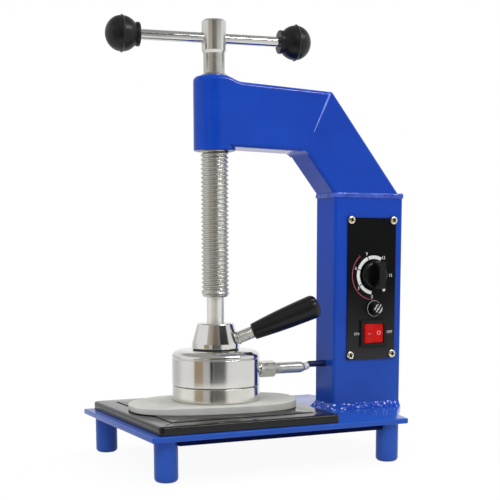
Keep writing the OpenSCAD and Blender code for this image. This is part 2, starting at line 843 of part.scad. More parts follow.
module lead_sleeve()
  color("silver") along_lead() translate([0, 0, sleeve_r]) rotate_extrude()
    difference() {
      polygon([[0, 0], [sleeve_d / 2, 0], [sleeve_d / 2, sleeve_l],
        [lead_d / 2 + 0.9, sleeve_l + sleeve_tip], [0, sleeve_l + sleeve_tip]]);
      translate([-1, -1]) square([bore / 2 + 1, sleeve_l + sleeve_tip + 2]);
    }

lead_x = [r_head - house_wall - 1.5, gland_r, sleeve_r, sleeve_end + 4,
  sleeve_end + 6, sleeve_end + 8, sleeve_end + 10, sleeve_end + 12, throat - 3, throat + 12];
function ease(u) = u <= 0 ? 0 : u >= 1 ? 1 : u * u * (3 - 2 * u);
function lead_pt(x) = [hx + x, 0, lead_z
  + lead_rise * ease((x - sleeve_end - 4) / 8)];
module heater_lead() {
  n = len(lead_x);
  m = 12;
  color("#1a1a1a") polyhedron(
    points = [for (k = [0:n - 1], i = [0:m - 1]) lead_pt(lead_x[k])
      + lead_d / 2 * [0, cos(30 * i), sin(30 * i)]],
    faces = concat(
      [[for (i = [0:m - 1]) i]],
      [[for (i = [m - 1:-1:0]) (n - 1) * m + i]],
      [for (k = [0:n - 2], i = [0:m - 1])
        [k * m + i, (k + 1) * m + i, (k + 1) * m + (i + 1) % m]],
      [for (k = [0:n - 2], i = [0:m - 1])
        [k * m + i, (k + 1) * m + (i + 1) % m, k * m + (i + 1) % m]]));
}

pin_d = neck_d - 4;
module lead_screw()
  color("silver") difference() {
    translate([hx, 0, 0]) rotate_extrude()
      polygon([[0, button_z], [button_d / 2 - 0.5, button_z],
        [button_d / 2, button_z + 0.5], [button_d / 2, button_z + button_h],
        [spindle_d / 2, button_z + button_h], [spindle_d / 2, thread_z],
        [screw_d / 2 - 1.6, thread_z], [screw_d / 2, thread_z + 1.6],
        [screw_d / 2, thread_top], [neck_d / 2, thread_top + thread_cut],
        [neck_d / 2, crown_z - 1.4], [pin_d / 2, crown_z - 1.4],
        [pin_d / 2, crown_z + crown_h - 3], [0, crown_z + crown_h - 3]]);
    bar_hole();
  }

module screw_crown()
  color("silver") difference() {
    translate([hx, 0, 0]) rotate_extrude()
      polygon([[0, crown_z - 1.4], [neck_d / 2, crown_z - 1.4],
        [crown_d / 2, crown_z + 1.4], [crown_d / 2, crown_z + crown_h - 1.5],
        [crown_d / 2 - 1.5, crown_z + crown_h], [0, crown_z + crown_h]]);
    translate([hx, 0, crown_z - 2]) cylinder(d = pin_d, h = crown_h - 1);
    bar_hole();
    bar_place() for (q = [0, 180]) rotate([0, q, 0])
      translate([0, 0, crown_d / 2 - 1.6])
        cylinder(d1 = bar_d + 2 * run, d2 = bar_d + 2 * run + 3, h = 1.8);
  }

module bar_hole()
  bar_place() translate([0, 0, -crown_d])
    cylinder(d = bar_d + 2 * run, h = 2 * crown_d);

module bar_place()
  translate([hx, 0, bar_z]) rotate([0, 0, bar_yaw]) rotate([0, 90, 0])
    children();

bar_l = 2 * (ball_half - ferrule_l + ball_bore);
module tommy_bar()
  color("silver") bar_place() translate([0, 0, bar_shift - bar_l / 2])
    cylinder(d = bar_d, h = bar_l);

function ball_pt(i) = let (a = -54 + 144 * i / 24)
  [ball_d / 2 * cos(a) + (i == 9 ? ball_seam : 0), (a < 0 ? ball_d / 2 : ball_end) * sin(a)];
module ball(s)
  color("#1a1a1a") bar_place()
    translate([0, 0, bar_shift + s * ball_half])
      rotate([0, s < 0 ? 180 : 0, 0]) difference() {
        rotate_extrude()
          polygon(concat([[0, -ferrule_l], [ferrule_d / 2 - 0.8, -ferrule_l],
            [ferrule_d / 2, -ferrule_l + 0.8], [ferrule_d / 2, -ferrule_l + 3],
            [ferrule_d / 2 - 0.8, -ferrule_l + 3.6]],
            [for (i = [1:23]) ball_pt(i)], [[0, ball_end]]));
        translate([0, 0, -ferrule_l - 1])
          cylinder(d = bar_d, h = ball_bore + 1);
      }
module ball_knob_left() ball(-1);
module ball_knob_right() ball(1);

module timer_knob()
  color("black") translate([px, py, dial_z]) rotate([90, 0, 0]) {
    translate([0, 0, -panel_t - wall - 8])
      cylinder(d = shaft_d, h = panel_t + wall + 9);
    translate([0, 0, 0.6]) rotate_extrude()
      polygon([[0, 0], [knob_d / 2 - 0.4, 0], [knob_d / 2, 0.4],
        [knob_d / 2, 3], [knob_d / 2 - 1.2, 4.4], [knob_d / 2 - 2.4, 5],
        [0, 5]]);
    intersection() {
      translate([-knob_bar / 2, -knob_d / 2, 5])
        cube([knob_bar, knob_d, knob_h - 5]);
      translate([0, 0, 4]) cylinder(d = knob_d - 1.4, h = knob_h);
    }
  }

module fuse_cap()
  color("#222222") translate([px, py, fuse_z]) rotate([90, 0, 0])
    difference() {
      union() {
        translate([0, 0, -2.8]) cylinder(d = cap_d - 1.6, h = 6);
        translate([0, 0, 3.2]) rotate_extrude()
          polygon([[0, 0], [cap_d / 2, 0], [cap_d / 2, cap_h - 1],
            [cap_d / 2 - 1, cap_h], [0, cap_h]]);
      }
      translate([-cap_d, -0.8, cap_h + 1.8]) cube([2 * cap_d, 1.6, 3]);
    }

module switch_rocker()
  color("red") translate([px, py + 2, switch_z]) rotate([0, 0, rocker_tilt])
    translate([0, 0, -rocker_h / 2]) linear_extrude(rocker_h)
      polygon([[-rocker_w / 2 + 0.6, -4.6], [0, -3.2],
        [rocker_w / 2 - 0.6, -4.6], [rocker_w / 2, -3.8], [rocker_w / 2, 1],
        [3, 4], [-3, 4], [-rocker_w / 2, 1], [-rocker_w / 2, -3.8]]);

base_plate();
front_rail();
rear_rail();
foot_front_left();
foot_front_right();
foot_rear_left();
foot_rear_right();
platen_tray();
platen_insert();
work_pad();
column();
column_weld();
brace();
brace_weld();
arm();
screw_nut();
control_panel();
panel_screws();
timer_body();
fuse_body();
fuse_link();
switch_body();
lead_grommet();
inlet_grommet();
heating_plate();
heating_element();
thermostat();
element_cover();
heater_housing();
insulation_disc();
thrust_washer();
collar();
handle_stud();
handle_grip();
gland_neck_ring();
gland_nut();
lead_sleeve();
heater_lead();
lead_screw();
screw_crown();
tommy_bar();
ball_knob_left();
ball_knob_right();
timer_knob();
fuse_cap();
switch_rocker();
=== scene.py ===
import math
import bpy
import numpy as np
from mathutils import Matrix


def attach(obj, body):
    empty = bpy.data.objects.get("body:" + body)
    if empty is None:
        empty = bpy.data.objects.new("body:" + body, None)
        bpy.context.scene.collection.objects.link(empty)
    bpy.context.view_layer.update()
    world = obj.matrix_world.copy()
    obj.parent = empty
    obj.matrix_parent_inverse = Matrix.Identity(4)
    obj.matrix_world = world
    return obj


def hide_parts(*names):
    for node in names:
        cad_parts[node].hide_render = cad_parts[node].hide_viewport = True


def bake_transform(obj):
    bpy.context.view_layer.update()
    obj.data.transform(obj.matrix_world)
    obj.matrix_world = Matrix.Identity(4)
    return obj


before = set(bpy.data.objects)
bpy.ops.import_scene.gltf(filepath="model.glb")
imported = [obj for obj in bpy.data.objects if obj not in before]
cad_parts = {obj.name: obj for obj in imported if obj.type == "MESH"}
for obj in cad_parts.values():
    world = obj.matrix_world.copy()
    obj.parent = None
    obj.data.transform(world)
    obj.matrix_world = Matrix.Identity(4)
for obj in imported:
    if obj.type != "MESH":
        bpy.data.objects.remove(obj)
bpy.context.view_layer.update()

# Sizes in millimetres, mostly the solids'; the rails and the pad's outline differ from theirs
MM = 0.001
LEFT, BASE_L, BASE_HALF, BASE_Z, BASE_TOP = -155.1, 266.0, 102.0, 38.5, 43.5
RIGHT, TAIL_X, TAIL_SIDE, TAIL_HALF = LEFT + 309.0, LEFT + 272.3, 74.5, 22.0
RAIL_IN, RAIL_T, RAIL_H, RAIL_LEFT, RAIL_RIGHT = 6.5, 8.0, 5.2, 27.5, 25.0
HEAD_X = LEFT + 105.4
COL_X, COL_W, COL_D, COL_R, COL_TOP = HEAD_X + 122.9, 80.7, 40.0, 3.0, 261.5
ARM_LOW, ARM_TOP, ARM_FALL, BRACE_TILT, MITRE_TILT = 303.5, 363.5, 2.1, 51.0, 25.5
TRAY_L, TRAY_W, TRAY_TOP, TRAY_RIM = 183.0, 194.0, 52.5, 19.6
TRAY_X = LEFT + 9.0 + TRAY_L / 2
PAD_X, PAD_Y, PAD_LONG, PAD_WIDE, PAD_YAW = HEAD_X - 5.6, -5.0, 83.6, 51.1, -8.8
HEAD_Z, SEAM_Z, HEAD_R = 59.7, 74.4, 43.5
COLLAR_Z, COLLAR_TOP, COLLAR_R = 110.6, 135.6, 23.5
PITCH, SCREW_LOW, SCREW_TOP, BOSS_TOP = 4.2, 112.6, 391.55, 370.5
BAR_Z, BAR_YAW, BALL_HALF, BAR_SHIFT, BALL_R = 406.0, -9.0, 85.0, -3.6, 16.2
LEVER_Z, LEVER_YAW, LEVER_RISE = 111.5, -20.0, 22.1
GRIP_FROM, GRIP_L, GRIP_END = 40, 63.5, 6.5
LEAD_Z, LEAD_RISE, LEAD_R, SLEEVE_R, NUT_L = 87.55, 2.6, 3.2, 5.7, 16.6
NUT_X = HEAD_X + HEAD_R + 3.7
SLEEVE_X = NUT_X + NUT_L
PANEL_X = COL_X + COL_W / 2 + 2.7
DIAL_X, PANEL_Y, PANEL_Z, PANEL_W, PANEL_H = PANEL_X + 2.1, -21.5, 94.3, 57.0, 144.7
DIAL_Z, FUSE_Z, SWITCH_Z = PANEL_Z + 86.8, PANEL_Z + 52.6, PANEL_Z + 27.0
X, Y, Z = np.eye(3)
FACE = (X, Z, -Y)
TURN = 2 * np.pi


def piece(name, points, faces, body, finish, nodes=(), slot=None, sharp=35.0):
    """One mesh from whole arrays: points in millimetres, faces as rows of point numbers. Faces are turned
    outwards by the sign of the volume that they close, and edges sharper than the given angle stay crisp."""
    points = np.asarray(points, float)
    fans = [np.column_stack([f[:, 0], f[:, i], f[:, i + 1]]) for f in faces for i in range(1, f.shape[1] - 1)]
    a, b, c = points[np.vstack(fans).T]
    turn = -1 if np.einsum("ij,ij->i", a, np.cross(b, c)).sum() < 0 else 1
    mesh = bpy.data.meshes.new(name)
    mesh.from_pydata((points * MM).tolist(), [], [f for rows in faces for f in rows[:, ::turn].tolist()])
    mesh.update()
    mesh.shade_smooth()
    mesh.set_sharp_from_angle(angle=math.radians(sharp))
    mesh.materials.append(finish)
    obj = bpy.data.objects.new(name, mesh)
    bpy.context.scene.collection.objects.link(obj)
    if body:
        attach(obj, body)
    if nodes:
        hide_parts(*nodes)
    return obj


def skin(rings, loop=False):
    """Faces over rings[k, i]: each quad joins place i to i + 1 round and ring k to k + 1 along. Open ends get
    a fan to their middle, and a loop joins the last ring to the first."""
    k, n = rings.shape[:2]
    i = np.arange(n)
    j = (i + 1) % n
    a = np.arange(k if loop else k - 1)[:, None] * n
    b = (np.arange(1, k + 1 if loop else k)[:, None] % k) * n
    quads = np.stack([a + i, a + j, b + j, b + i], -1).reshape(-1, 4)
    points = rings.reshape(-1, 3)
    if loop:
        return points, [quads]
    points = np.vstack([points, rings[0].mean(0), rings[-1].mean(0)])
    low = np.stack([np.full(n, k * n), j, i], -1)
    high = np.stack([np.full(n, k * n + 1), (k - 1) * n + i, (k - 1) * n + j], -1)
    return points, [quads, low, high]


def join(skins):
    """Several skins as one: points stacked, and each one's face numbers moved past the points before it."""
    points, faces, past = [], [], 0
    for p, f in skins:
        points.append(p)
        faces += [g + past for g in f]
        past += len(p)
    return np.vstack(points), faces


def both_sides(rings):
    """A skin on the rear side and its mirror image on the front one, where y changes its sign."""
    points, faces = skin(rings)
    return join([(points * (1, side, 1), [f[:, ::side] for f in faces]) for side in (-1, 1)])


def soften(corners, radii, n=6, closed=False):
    """A polyline whose corners are parabola arcs that start and end their radius away along the two edges."""
    c = np.asarray(corners, float)
    r = np.broadcast_to(np.asarray(radii, float), len(c))[:, None]
    back, fore = np.roll(c, 1, 0) - c, np.roll(c, -1, 0) - c
    reach = lambda v: v / np.maximum(np.linalg.norm(v, axis=1, keepdims=True), 1e-9) * r
    a, b = c + reach(back), c + reach(fore)
    t = np.linspace(0, 1, n)[None, :, None]
    arcs = (1 - t) ** 2 * a[:, None] + 2 * t * (1 - t) * c[:, None] + t ** 2 * b[:, None]
    return arcs.reshape(-1, 2) if closed else np.vstack([c[:1], arcs[1:-1].reshape(-1, 2), c[-1:]])


def around(n):
    """Equal turns round a circle."""
    return np.linspace(0, TURN, n, endpoint=False)


def turned(profile, n=96, at=(0, 0, 0), axes=(X, Y, Z)):
    """A turned piece: the profile's radius goes round the third axis as cosine and sine of the turn, and its
    height goes along that axis."""
    p = np.asarray(profile, float)
    t = around(n)
    u, v, w = axes
    r = p[:, :1, None] * (np.cos(t)[None, :, None] * u + np.sin(t)[None, :, None] * v)
    return np.asarray(at, float) + r + p[:, 1:, None] * w


def spun(name, profile, n, at, body, finish, nodes, slot, sharp=35.0, axes=(X, Y, Z), loop=False):
    """A piece from a turned profile; as a loop the profile closes on itself, like a ring's section."""
    return piece(name, *skin(turned(profile, n, at, axes), loop), body, finish, nodes, slot, sharp)


def inset(outline, d):
    """The outline moved in by d: each point goes against the sum of its two edge normals, divided by one plus
    their product."""
    e = np.roll(outline, -1, 0) - outline
    n = np.stack([e[:, 1], -e[:, 0]], 1)
    n /= np.maximum(np.linalg.norm(n, axis=1, keepdims=True), 1e-9)
    m = np.roll(n, 1, 0)
    return outline - d * (n + m) / (1 + (n * m).sum(1, keepdims=True))


def stacked(loops, heights, at=(0, 0, 0)):
    """A plate as a stack of flat loops of equal count, each at its height."""
    loops = np.stack(loops)
    h = np.asarray(heights, float)[:, None, None]
    return np.asarray(at, float) + loops[..., :1] * X + loops[..., 1:] * Y + h * Z


def box_outline(w, h, r, n=10):
    """A rectangle about its middle with softened corners."""
    return soften([(-w / 2, -h / 2), (w / 2, -h / 2), (w / 2, h / 2), (-w / 2, h / 2)], r, n, True)


def slab(name, w, h, r, levels, at, finish, node, slot, sharp=35.0):
    """A rectangular plate: at each level's height the rectangle less its inset, with a corner radius that
    shrinks with it."""
    loops = [box_outline(w - 2 * d, h - 2 * d, max(r - 0.5 * d, 1.6)) for d, _ in levels]
    rings = stacked(loops, [z for _, z in levels], at)
    return piece(name, *skin(rings), "frame", finish, [node], slot, sharp)


def edge_levels(t, r, n=6):
    """Insets and heights of a plate of thickness t whose upper and lower edges are quarter rounds."""
    a = np.linspace(0, np.pi / 2, n)
    low = [(r - r * math.sin(q), r - r * math.cos(q)) for q in a]
    return low + [(r - r * math.cos(q), t - r + r * math.sin(q)) for q in a]


def along(path, radius, n):
    """A round rod along a path in the plane of X and Z: at each point a circle of that radius across the
    path's slope, which is the gradient of its points."""
    d = np.gradient(path, axis=0)
    d /= np.linalg.norm(d, axis=1, keepdims=True)
    side = np.cross(np.broadcast_to(Y, d.shape), d)
    t = around(n)
    ring = np.cos(t)[None, :, None] * side[:, None] + np.sin(t)[None, :, None] * Y
    return path[:, None] + np.asarray(radius).reshape(-1, 1, 1) * ring


def ripple(t, seed, waves):
    """A repeatable unevenness between about minus one and one: sines of several whole wave numbers with
    seeded phases, weaker as they get finer."""
    rng = np.random.default_rng(seed)
    return sum(np.sin(w * t + rng.uniform(0, 6.28)) / (1 + 0.4 * i) for i, w in enumerate(waves)) / 2


def srgb(r, g, b):
    """A colour of 0 to 255 as linear light."""
    c = np.array([r, g, b]) / 255.0
    return (*np.where(c <= 0.04045, c / 12.92, ((c + 0.055) / 1.055) ** 2.4).tolist(), 1.0)


class Finish:
    """A material whose nodes start from Object coordinates and end in one shader."""

    def __init__(self, name, rough=0.4, metal=0.0, specular=0.5):
        self.mat = bpy.data.materials.new(name)
        self.mat.use_nodes = True
        self.tree = self.mat.node_tree
        self.shader = self.tree.nodes["Principled BSDF"]
        self.shader.inputs["Roughness"].default_value = rough
        self.shader.inputs["Metallic"].default_value = metal
        self.shader.inputs["Specular IOR Level"].default_value = specular
        self.coord = self.node("ShaderNodeTexCoord").outputs["Object"]

    def node(self, kind, **values):
        """A new node, with each value put in the input or setting of that name."""
        n = self.tree.nodes.new(kind)
        for key, value in values.items():
            if key in n.inputs:
                n.inputs[key].default_value = value
            else:
                setattr(n, key, value)
        return n

    def link(self, a, b):
        self.tree.links.new(a, b)

    def mapped(self, scale=(1, 1, 1), place=(0, 0, 0)):
        """The coordinates, scaled and moved."""
        m = self.node("ShaderNodeMapping", Scale=scale, Location=place)
        self.link(self.coord, m.inputs["Vector"])
        return m.outputs[0]

    def noise(self, scale, detail=3.0, rough=0.5, vector=None):
        n = self.node("ShaderNodeTexNoise", Scale=scale, Detail=detail, Roughness=rough)
        self.link(vector or self.coord, n.inputs["Vector"])
        return n.outputs["Fac"]

    def waves(self, turn, **values):
        """Waves across a turned direction."""
        m = self.node("ShaderNodeMapping", Rotation=turn)
        w = self.node("ShaderNodeTexWave", **values)
        self.link(self.coord, m.inputs["Vector"])
        self.link(m.outputs[0], w.inputs["Vector"])
        return w.outputs["Fac"]

    def ramp(self, fac, stops):
        n = self.node("ShaderNodeValToRGB")
        r = n.color_ramp
        while len(r.elements) < len(stops):
            r.elements.new(0.5)
        for e, (at, colour) in zip(r.elements, stops):
            e.position, e.color = at, colour
        self.link(fac, n.inputs["Fac"])
        return n.outputs["Color"]

    def ranged(self, value, low, high, start=0.0, stop=1.0):
        """A value's place between low and high, as a number from start to stop."""
        m = self.node("ShaderNodeMapRange")
        for key, number in (("From Min", low), ("From Max", high), ("To Min", start), ("To Max", stop)):
            m.inputs[key].default_value = number
        self.link(value, m.inputs["Value"])
        return m.outputs[0]

    def place(self, axis, low, high):
        """How far a point lies from low to high along an axis, in metres."""
        parts = self.node("ShaderNodeSeparateXYZ")
        self.link(self.coord, parts.inputs[0])
        return self.ranged(parts.outputs[axis], low, high)

    def calc(self, kind, *terms):
        """One calculation with values and plain numbers."""
        m = self.node("ShaderNodeMath", operation=kind)
        for socket, term in zip(m.inputs, terms):
            if isinstance(term, float):
                socket.default_value = term
            else:
                self.link(term, socket)
        return m.outputs[0]

    def mixed(self, fac, a, b):
        """Two colours mixed by a fraction."""
        m = self.node("ShaderNodeMixRGB")
        for socket, value in zip(m.inputs, (fac, a, b)):
            self.link(value, socket)
        return m.outputs[0]

    def paint(self, colour):
        self.link(colour, self.shader.inputs["Base Color"])

    def colour(self, fac, stops):
        self.paint(self.ramp(fac, stops))

    def spread(self, fac, low, high):
        """Roughness that goes with a noise."""
        self.link(self.ranged(fac, 0.25, 0.75, low, high), self.shader.inputs["Roughness"])

    def bump(self, height, strength, distance):
        """Relief on top of any that is there."""
        b = self.node("ShaderNodeBump", Strength=strength, Distance=distance)
        self.link(height, b.inputs["Height"])
        last = self.shader.inputs["Normal"].links
        if last:
            self.link(last[0].from_socket, b.inputs["Normal"])
        self.link(b.outputs[0], self.shader.inputs["Normal"])


def tinted(name, dark, light, scale, rough, metal=0.0, relief=0.0, fine=600.0, stretch=(1, 1, 1), wander=0.08,
           specular=0.5):
    """A finish between two near colours by a slow noise, with roughness that wanders and a fine grain in
    relief."""
    f = Finish(name, rough, metal, specular)
    f.colour(f.noise(scale, 4.0, 0.6), [(0.3, srgb(*dark)), (0.7, srgb(*light))])
    grain = f.noise(fine, 2.0, 0.5, f.mapped(stretch))
    f.spread(grain, max(rough - wander, 0.02), rough + wander)
    if relief:
        f.bump(grain, 0.4, relief)
    return f.mat


def enamel(name, rough, lumps=0.0, specular=0.17):
    """Sprayed gloss enamel: a slow drift of tone, paler towards the floor as painted bounce light from the
    base and floor, and orange peel in relief. Over a weld the tone has none of that painted paleness, but has
    bright flecks that are painted glints, and a coarser unevenness."""
    f = Finish(name, rough, 0.0, specular)
    drift = f.noise(11, 4.0, 0.55)
    high = f.ramp(drift, [(0.3, srgb(10, 58, 164)), (0.5, srgb(13, 64, 174)), (0.72, srgb(18, 70, 182))])
    if lumps:
        # Painted glints: pale specks mixed into the tone where a fine noise is high
        painted_glint_specks = f.noise(330, 2.0, 0.5, f.mapped((1, 1, 1), (0.3, 0.1, 0.7)))
        share = f.ramp(painted_glint_specks, [(0.6, (0, 0, 0, 1)), (0.66, (1, 1, 1, 1))])
        f.paint(f.mixed(share, high, f.ramp(drift, [(0.3, srgb(176, 194, 240)), (0.7, srgb(222, 230, 250))])))
    else:
        # Painted bounce light: this paler lower tone is mixed in towards the floor by height
        low = f.ramp(drift, [(0.3, srgb(32, 73, 160)), (0.5, srgb(36, 79, 169)), (0.72, srgb(40, 84, 176))])
        f.paint(f.mixed(f.place("Z", 0.03, 0.20), low, high))
    f.spread(f.noise(55, 3.0), rough * 0.8, rough * 1.25)
    f.bump(f.noise(380, 2.0), 0.12, 0.0003)
    if lumps:
        f.bump(f.noise(140, 3.0, 0.6), 0.8, lumps)
    return f.mat


def turned_metal(name, dark, light, rough, lines=900.0, relief=0.00006):
    """Lathe-turned metal: fine rings across the axis from a noise that is stretched round it, and a faint
    mottling."""
    f = Finish(name, rough, 1.0)
    f.colour(f.noise(30, 3.0), [(0.3, srgb(*dark)), (0.7, srgb(*light))])
    rings = f.noise(1.0, 3.0, 0.6, f.mapped((5, 5, lines)))
    f.spread(rings, rough * 0.8, rough * 1.25)
    f.bump(rings, 0.15, relief)
    return f.mat


def panel_coat():
    """Satin black sheet: darker at the top and paler towards its lower edge, by height, a painted reflection
    of the dark room above and the pale floor below.
    """
    f = Finish("panel_coat", 0.4, 0.0, 0.09)
    # Painted reflection: the ramp runs from a pale lower edge to a dark top
    f.colour(f.place("Z", 0.095, 0.170),
             [(0.0, srgb(52, 50, 51)), (0.35, srgb(40, 39, 40)), (1.0, srgb(7, 8, 9))])
    f.spread(f.noise(70, 4.0), 0.34, 0.5)
    f.bump(f.noise(900, 2.0), 0.3, 0.00008)
    return f.mat


def screw_metal():
    """The lead screw's steel: turned rings, and by height a pale plain spindle under a greyer and smoother
    thread."""
    f = Finish("screw_steel", 0.3, 1.0)
    thread = f.place("Z", 0.1605, 0.1615)
    f.colour(f.calc("MULTIPLY_ADD", f.noise(30, 3.0), 0.16, thread),
             [(0.0, srgb(246, 245, 240)), (0.16, srgb(236, 235, 230)), (1.0, srgb(196, 195, 189))])
    rings = f.noise(1.0, 3.0, 0.6, f.mapped((5, 5, 1400)))
    grain = f.calc("MULTIPLY_ADD", rings, 0.16, 0.36)
    f.link(f.calc("MULTIPLY_ADD", thread, -0.16, grain), f.shader.inputs["Roughness"])
    f.bump(rings, 0.15, 0.00001)
    return f.mat


def screw_head_metal():
    """Bright screw heads with a recess painted dark as shade: the colour goes with the height above the panel.
    """
    f = Finish("panel_screw_nickel", 0.24, 1.0)
    height = f.place("Y", (PANEL_Y - 1.1) * MM, (PANEL_Y - 1.8) * MM)
    # Painted shade: the low recess takes the dark brown
    f.colour(f.calc("MULTIPLY_ADD", f.noise(300, 3.0), 0.2, height),
             [(0.05, srgb(58, 44, 30)), (0.6, srgb(190, 178, 146)), (1.1 / 1.2, srgb(216, 207, 180)),
              (1.0, srgb(232, 224, 200))])
    f.spread(f.noise(900, 2.0), 0.2, 0.3)
    return f.mat


def fuse_end_highlight_stripes():
    """The fuse cap's end: black with slanted pale stripes that wander a little, which are painted highlights.
    """
    f = Finish("fuse_end_painted_highlights", 0.3, 0.0, 0.3)
    stripes = f.waves((0, math.radians(-35), 0), Scale=88.0, Distortion=1.6, Detail=1.0)
    f.colour(stripes, [(0.5, srgb(10, 10, 11)), (0.62, srgb(226, 226, 224))])
    f.spread(f.noise(800, 2.0), 0.24, 0.36)
    return f.mat


def knurl():
    """Knurled steel: two crossed sets of fine waves in relief."""
    f = Finish("stud_knurl", 0.3, 1.0)
    f.colour(f.noise(60, 3.0), [(0.3, srgb(204, 203, 196)), (0.7, srgb(226, 225, 218))])
    for turn in (0.6, -0.6):
        f.bump(f.waves((0, turn, turn), Scale=330.0, Distortion=0.6), 0.35, 0.0003)
    return f.mat


# Finishes; LONG stretches a grain along X
LONG = (0.2, 1, 1)
# Every enamel is paler towards the floor as painted bounce light from the base and floor
BLUE = enamel("blue_enamel", 0.14)
# Weld enamel: its pale flecks are painted glints
WELD_BLUE = enamel("blue_enamel_weld", 0.1, 0.002)
EDGE_BLUE = enamel("blue_enamel_edge", 0.14, 0.0, 0.5)
# The rails' near-black blue is painted shade under the base plate
RAIL_PAINTED_SHADE = tinted("rail_enamel_painted_shade", (2, 9, 52), (4, 14, 64), 40, 0.5, 0.0, 0.0002, 400, specular=0.04)
# The top bead's paler patches are painted highlights on blue enamel
TOP_WELD_BLUE = tinted("blue_enamel_top_weld", (8, 54, 164), (56, 92, 202), 90, 0.2, 0.0, 0.0012, 140,
                       specular=0.6)
# The mitre ridge's pale blue is a painted highlight
MITRE_PAINTED_HIGHLIGHT = tinted("mitre_weld_painted_highlight", (96, 124, 222), (140, 164, 244), 200, 0.22, 0.0, 0.0002, 500,
                     specular=0.4)
HEAD_METAL = turned_metal("polished_head", (210, 209, 205), (222, 221, 217), 0.11, 500.0, 0.00003)
PLATE_METAL = turned_metal("heating_plate_alloy", (216, 214, 206), (228, 226, 218), 0.16)
COLLAR_METAL = turned_metal("collar_steel", (210, 209, 205), (222, 221, 217), 0.09, 500.0, 0.00003)
SCREW_METAL = screw_metal()
CROWN_METAL = turned_metal("crown_steel", (206, 205, 200), (222, 221, 216), 0.19, 260.0)
BAR_METAL = tinted("bar_chrome", (200, 200, 196), (218, 218, 214), 40, 0.12, 1.0, 0.00003, 300, LONG, 0.04)
STUD_METAL = knurl()
STEEL = tinted("plain_steel", (176, 176, 172), (196, 196, 192), 60, 0.36, 1.0, 0.0001, 700)
SLEEVE_METAL = tinted("sleeve_tin", (176, 176, 172), (204, 203, 198), 80, 0.25, 0.5, 0.00003, 500, LONG, 0.05)
NICKEL = tinted("gland_nickel", (210, 209, 202), (226, 225, 218), 80, 0.17, 1.0, 0.00003, 500, LONG, 0.05)
BAKELITE = tinted("bakelite_black", (9, 9, 10), (15, 15, 16), 50, 0.36, fine=500, wander=0.05, specular=0.34)
TRAY_BLACK = tinted("tray_enamel", (12, 12, 13), (19, 19, 20), 25, 0.15, 0.0, 0.00004, 500, wander=0.04,
                    specular=0.33)
RUBBER = tinted("cable_rubber", (18, 18, 20), (28, 28, 31), 80, 0.5, 0.0, 0.0001, 900, specular=0.25)
# The cable's navy is the blue column's reflection painted onto a black jacket
CABLE_PAINTED_REFLECTION = tinted("cable_jacket", (16, 28, 70), (26, 40, 90), 80, 0.45, 0.0, 0.0001, 900, specular=0.3)
PAD = tinted("pad_fibre", (188, 189, 183), (202, 203, 198), 45, 0.85, 0.0, 0.0004, 260, specular=0.2)
PANEL_BLACK = panel_coat()
PLASTIC = tinted("control_plastic", (7, 7, 8), (13, 13, 14), 60, 0.28, 0.0, 0.00004, 800, wander=0.06,
                 specular=0.26)
RED = tinted("rocker_red", (186, 12, 8), (206, 20, 14), 70, 0.26, 0.0, 0.00003, 800, wander=0.05,
             specular=0.11)
SCREW_HEAD = screw_head_metal()
# The fuse end's pale stripes are painted highlights
FUSE_END = fuse_end_highlight_stripes()
BRONZE = tinted("nut_bronze", (120, 100, 70), (140, 118, 84), 90, 0.42, 1.0, 0.0001, 600)
FIBRE = tinted("insulation_board", (22, 22, 22), (36, 35, 34), 90, 0.8, 0.0, 0.0002, 700)
IVORY = tinted("timer_ivory", (198, 192, 172), (214, 208, 190), 60, 0.5, 0.0, 0.0001, 600)
PRINT = tinted("dial_print_white", (222, 222, 220), (238, 238, 236), 90, 0.5, 0.0, 0.00002, 900)
PRINT_RED = tinted("dial_print_red", (104, 14, 30), (126, 26, 42), 90, 0.5, 0.0, 0.00002, 900, specular=0.2)
PRINT_PINK = tinted("dial_print_pink", (186, 96, 112), (206, 124, 136), 90, 0.5, 0.0, 0.00002, 900,
                    specular=0.2)
PRINT_PALE = tinted("rocker_mark", (236, 150, 146), (250, 182, 176), 90, 0.45, 0.0, 0.00002, 900)
# The flange rim's grey is a painted highlight on black plastic
RIM_PAINTED_HIGHLIGHT = tinted("fuse_rim_painted_highlight", (120, 120, 119), (150, 150, 148), 90, 0.32, 0.0, 0.00003, 700)
RING_PALE = tinted("lead_ring", (206, 204, 206), (230, 228, 230), 90, 0.4, 0.0, 0.0001, 700)


def screw_skin():
    """The lead screw: radius by height through its steps, plus a rounded thread wave whose phase is height
    over pitch less the turn, faded out at both ends."""
    steps = np.array([(12.0, SCREW_LOW), (12.0, 117.6), (8.5, 117.7), (8.5, 160.6), (11.1, 161.1),
                      (12.1, 161.5), (12.7, 162.6), (12.7, 163.3), (13.48, 164.2), (13.48, BOSS_TOP + 0.9),
                      (13.0, BOSS_TOP + 1.2), (10.25, BOSS_TOP + 3.0), (10.25, SCREW_TOP)])
    z = np.unique(np.concatenate([steps[:, 1], np.linspace(SCREW_LOW, 160, 40), np.linspace(160, 374, 860),
                                  np.linspace(374, SCREW_TOP, 14)]))
    t = around(64)
    r = np.interp(z, steps[:, 1], steps[:, 0])
    s = np.sin(TURN * (z[:, None] / PITCH - t / TURN))
    wave = s / np.sqrt(0.3 + s * s) * 1.14
    ease = np.clip((z - 165) / 3, 0, 1) * np.clip((BOSS_TOP + 0.8 - z) / 2, 0, 1)
    radius = r[:, None] - 0.75 * ease[:, None] * (1 - wave)
    height = np.broadcast_to(z[:, None], radius.shape)
    return skin(np.stack([HEAD_X + radius * np.cos(t), radius * np.sin(t), height], -1))


piece("threaded_screw", *screw_skin(), "screw", SCREW_METAL, ["lead_screw"], "screw_steel")


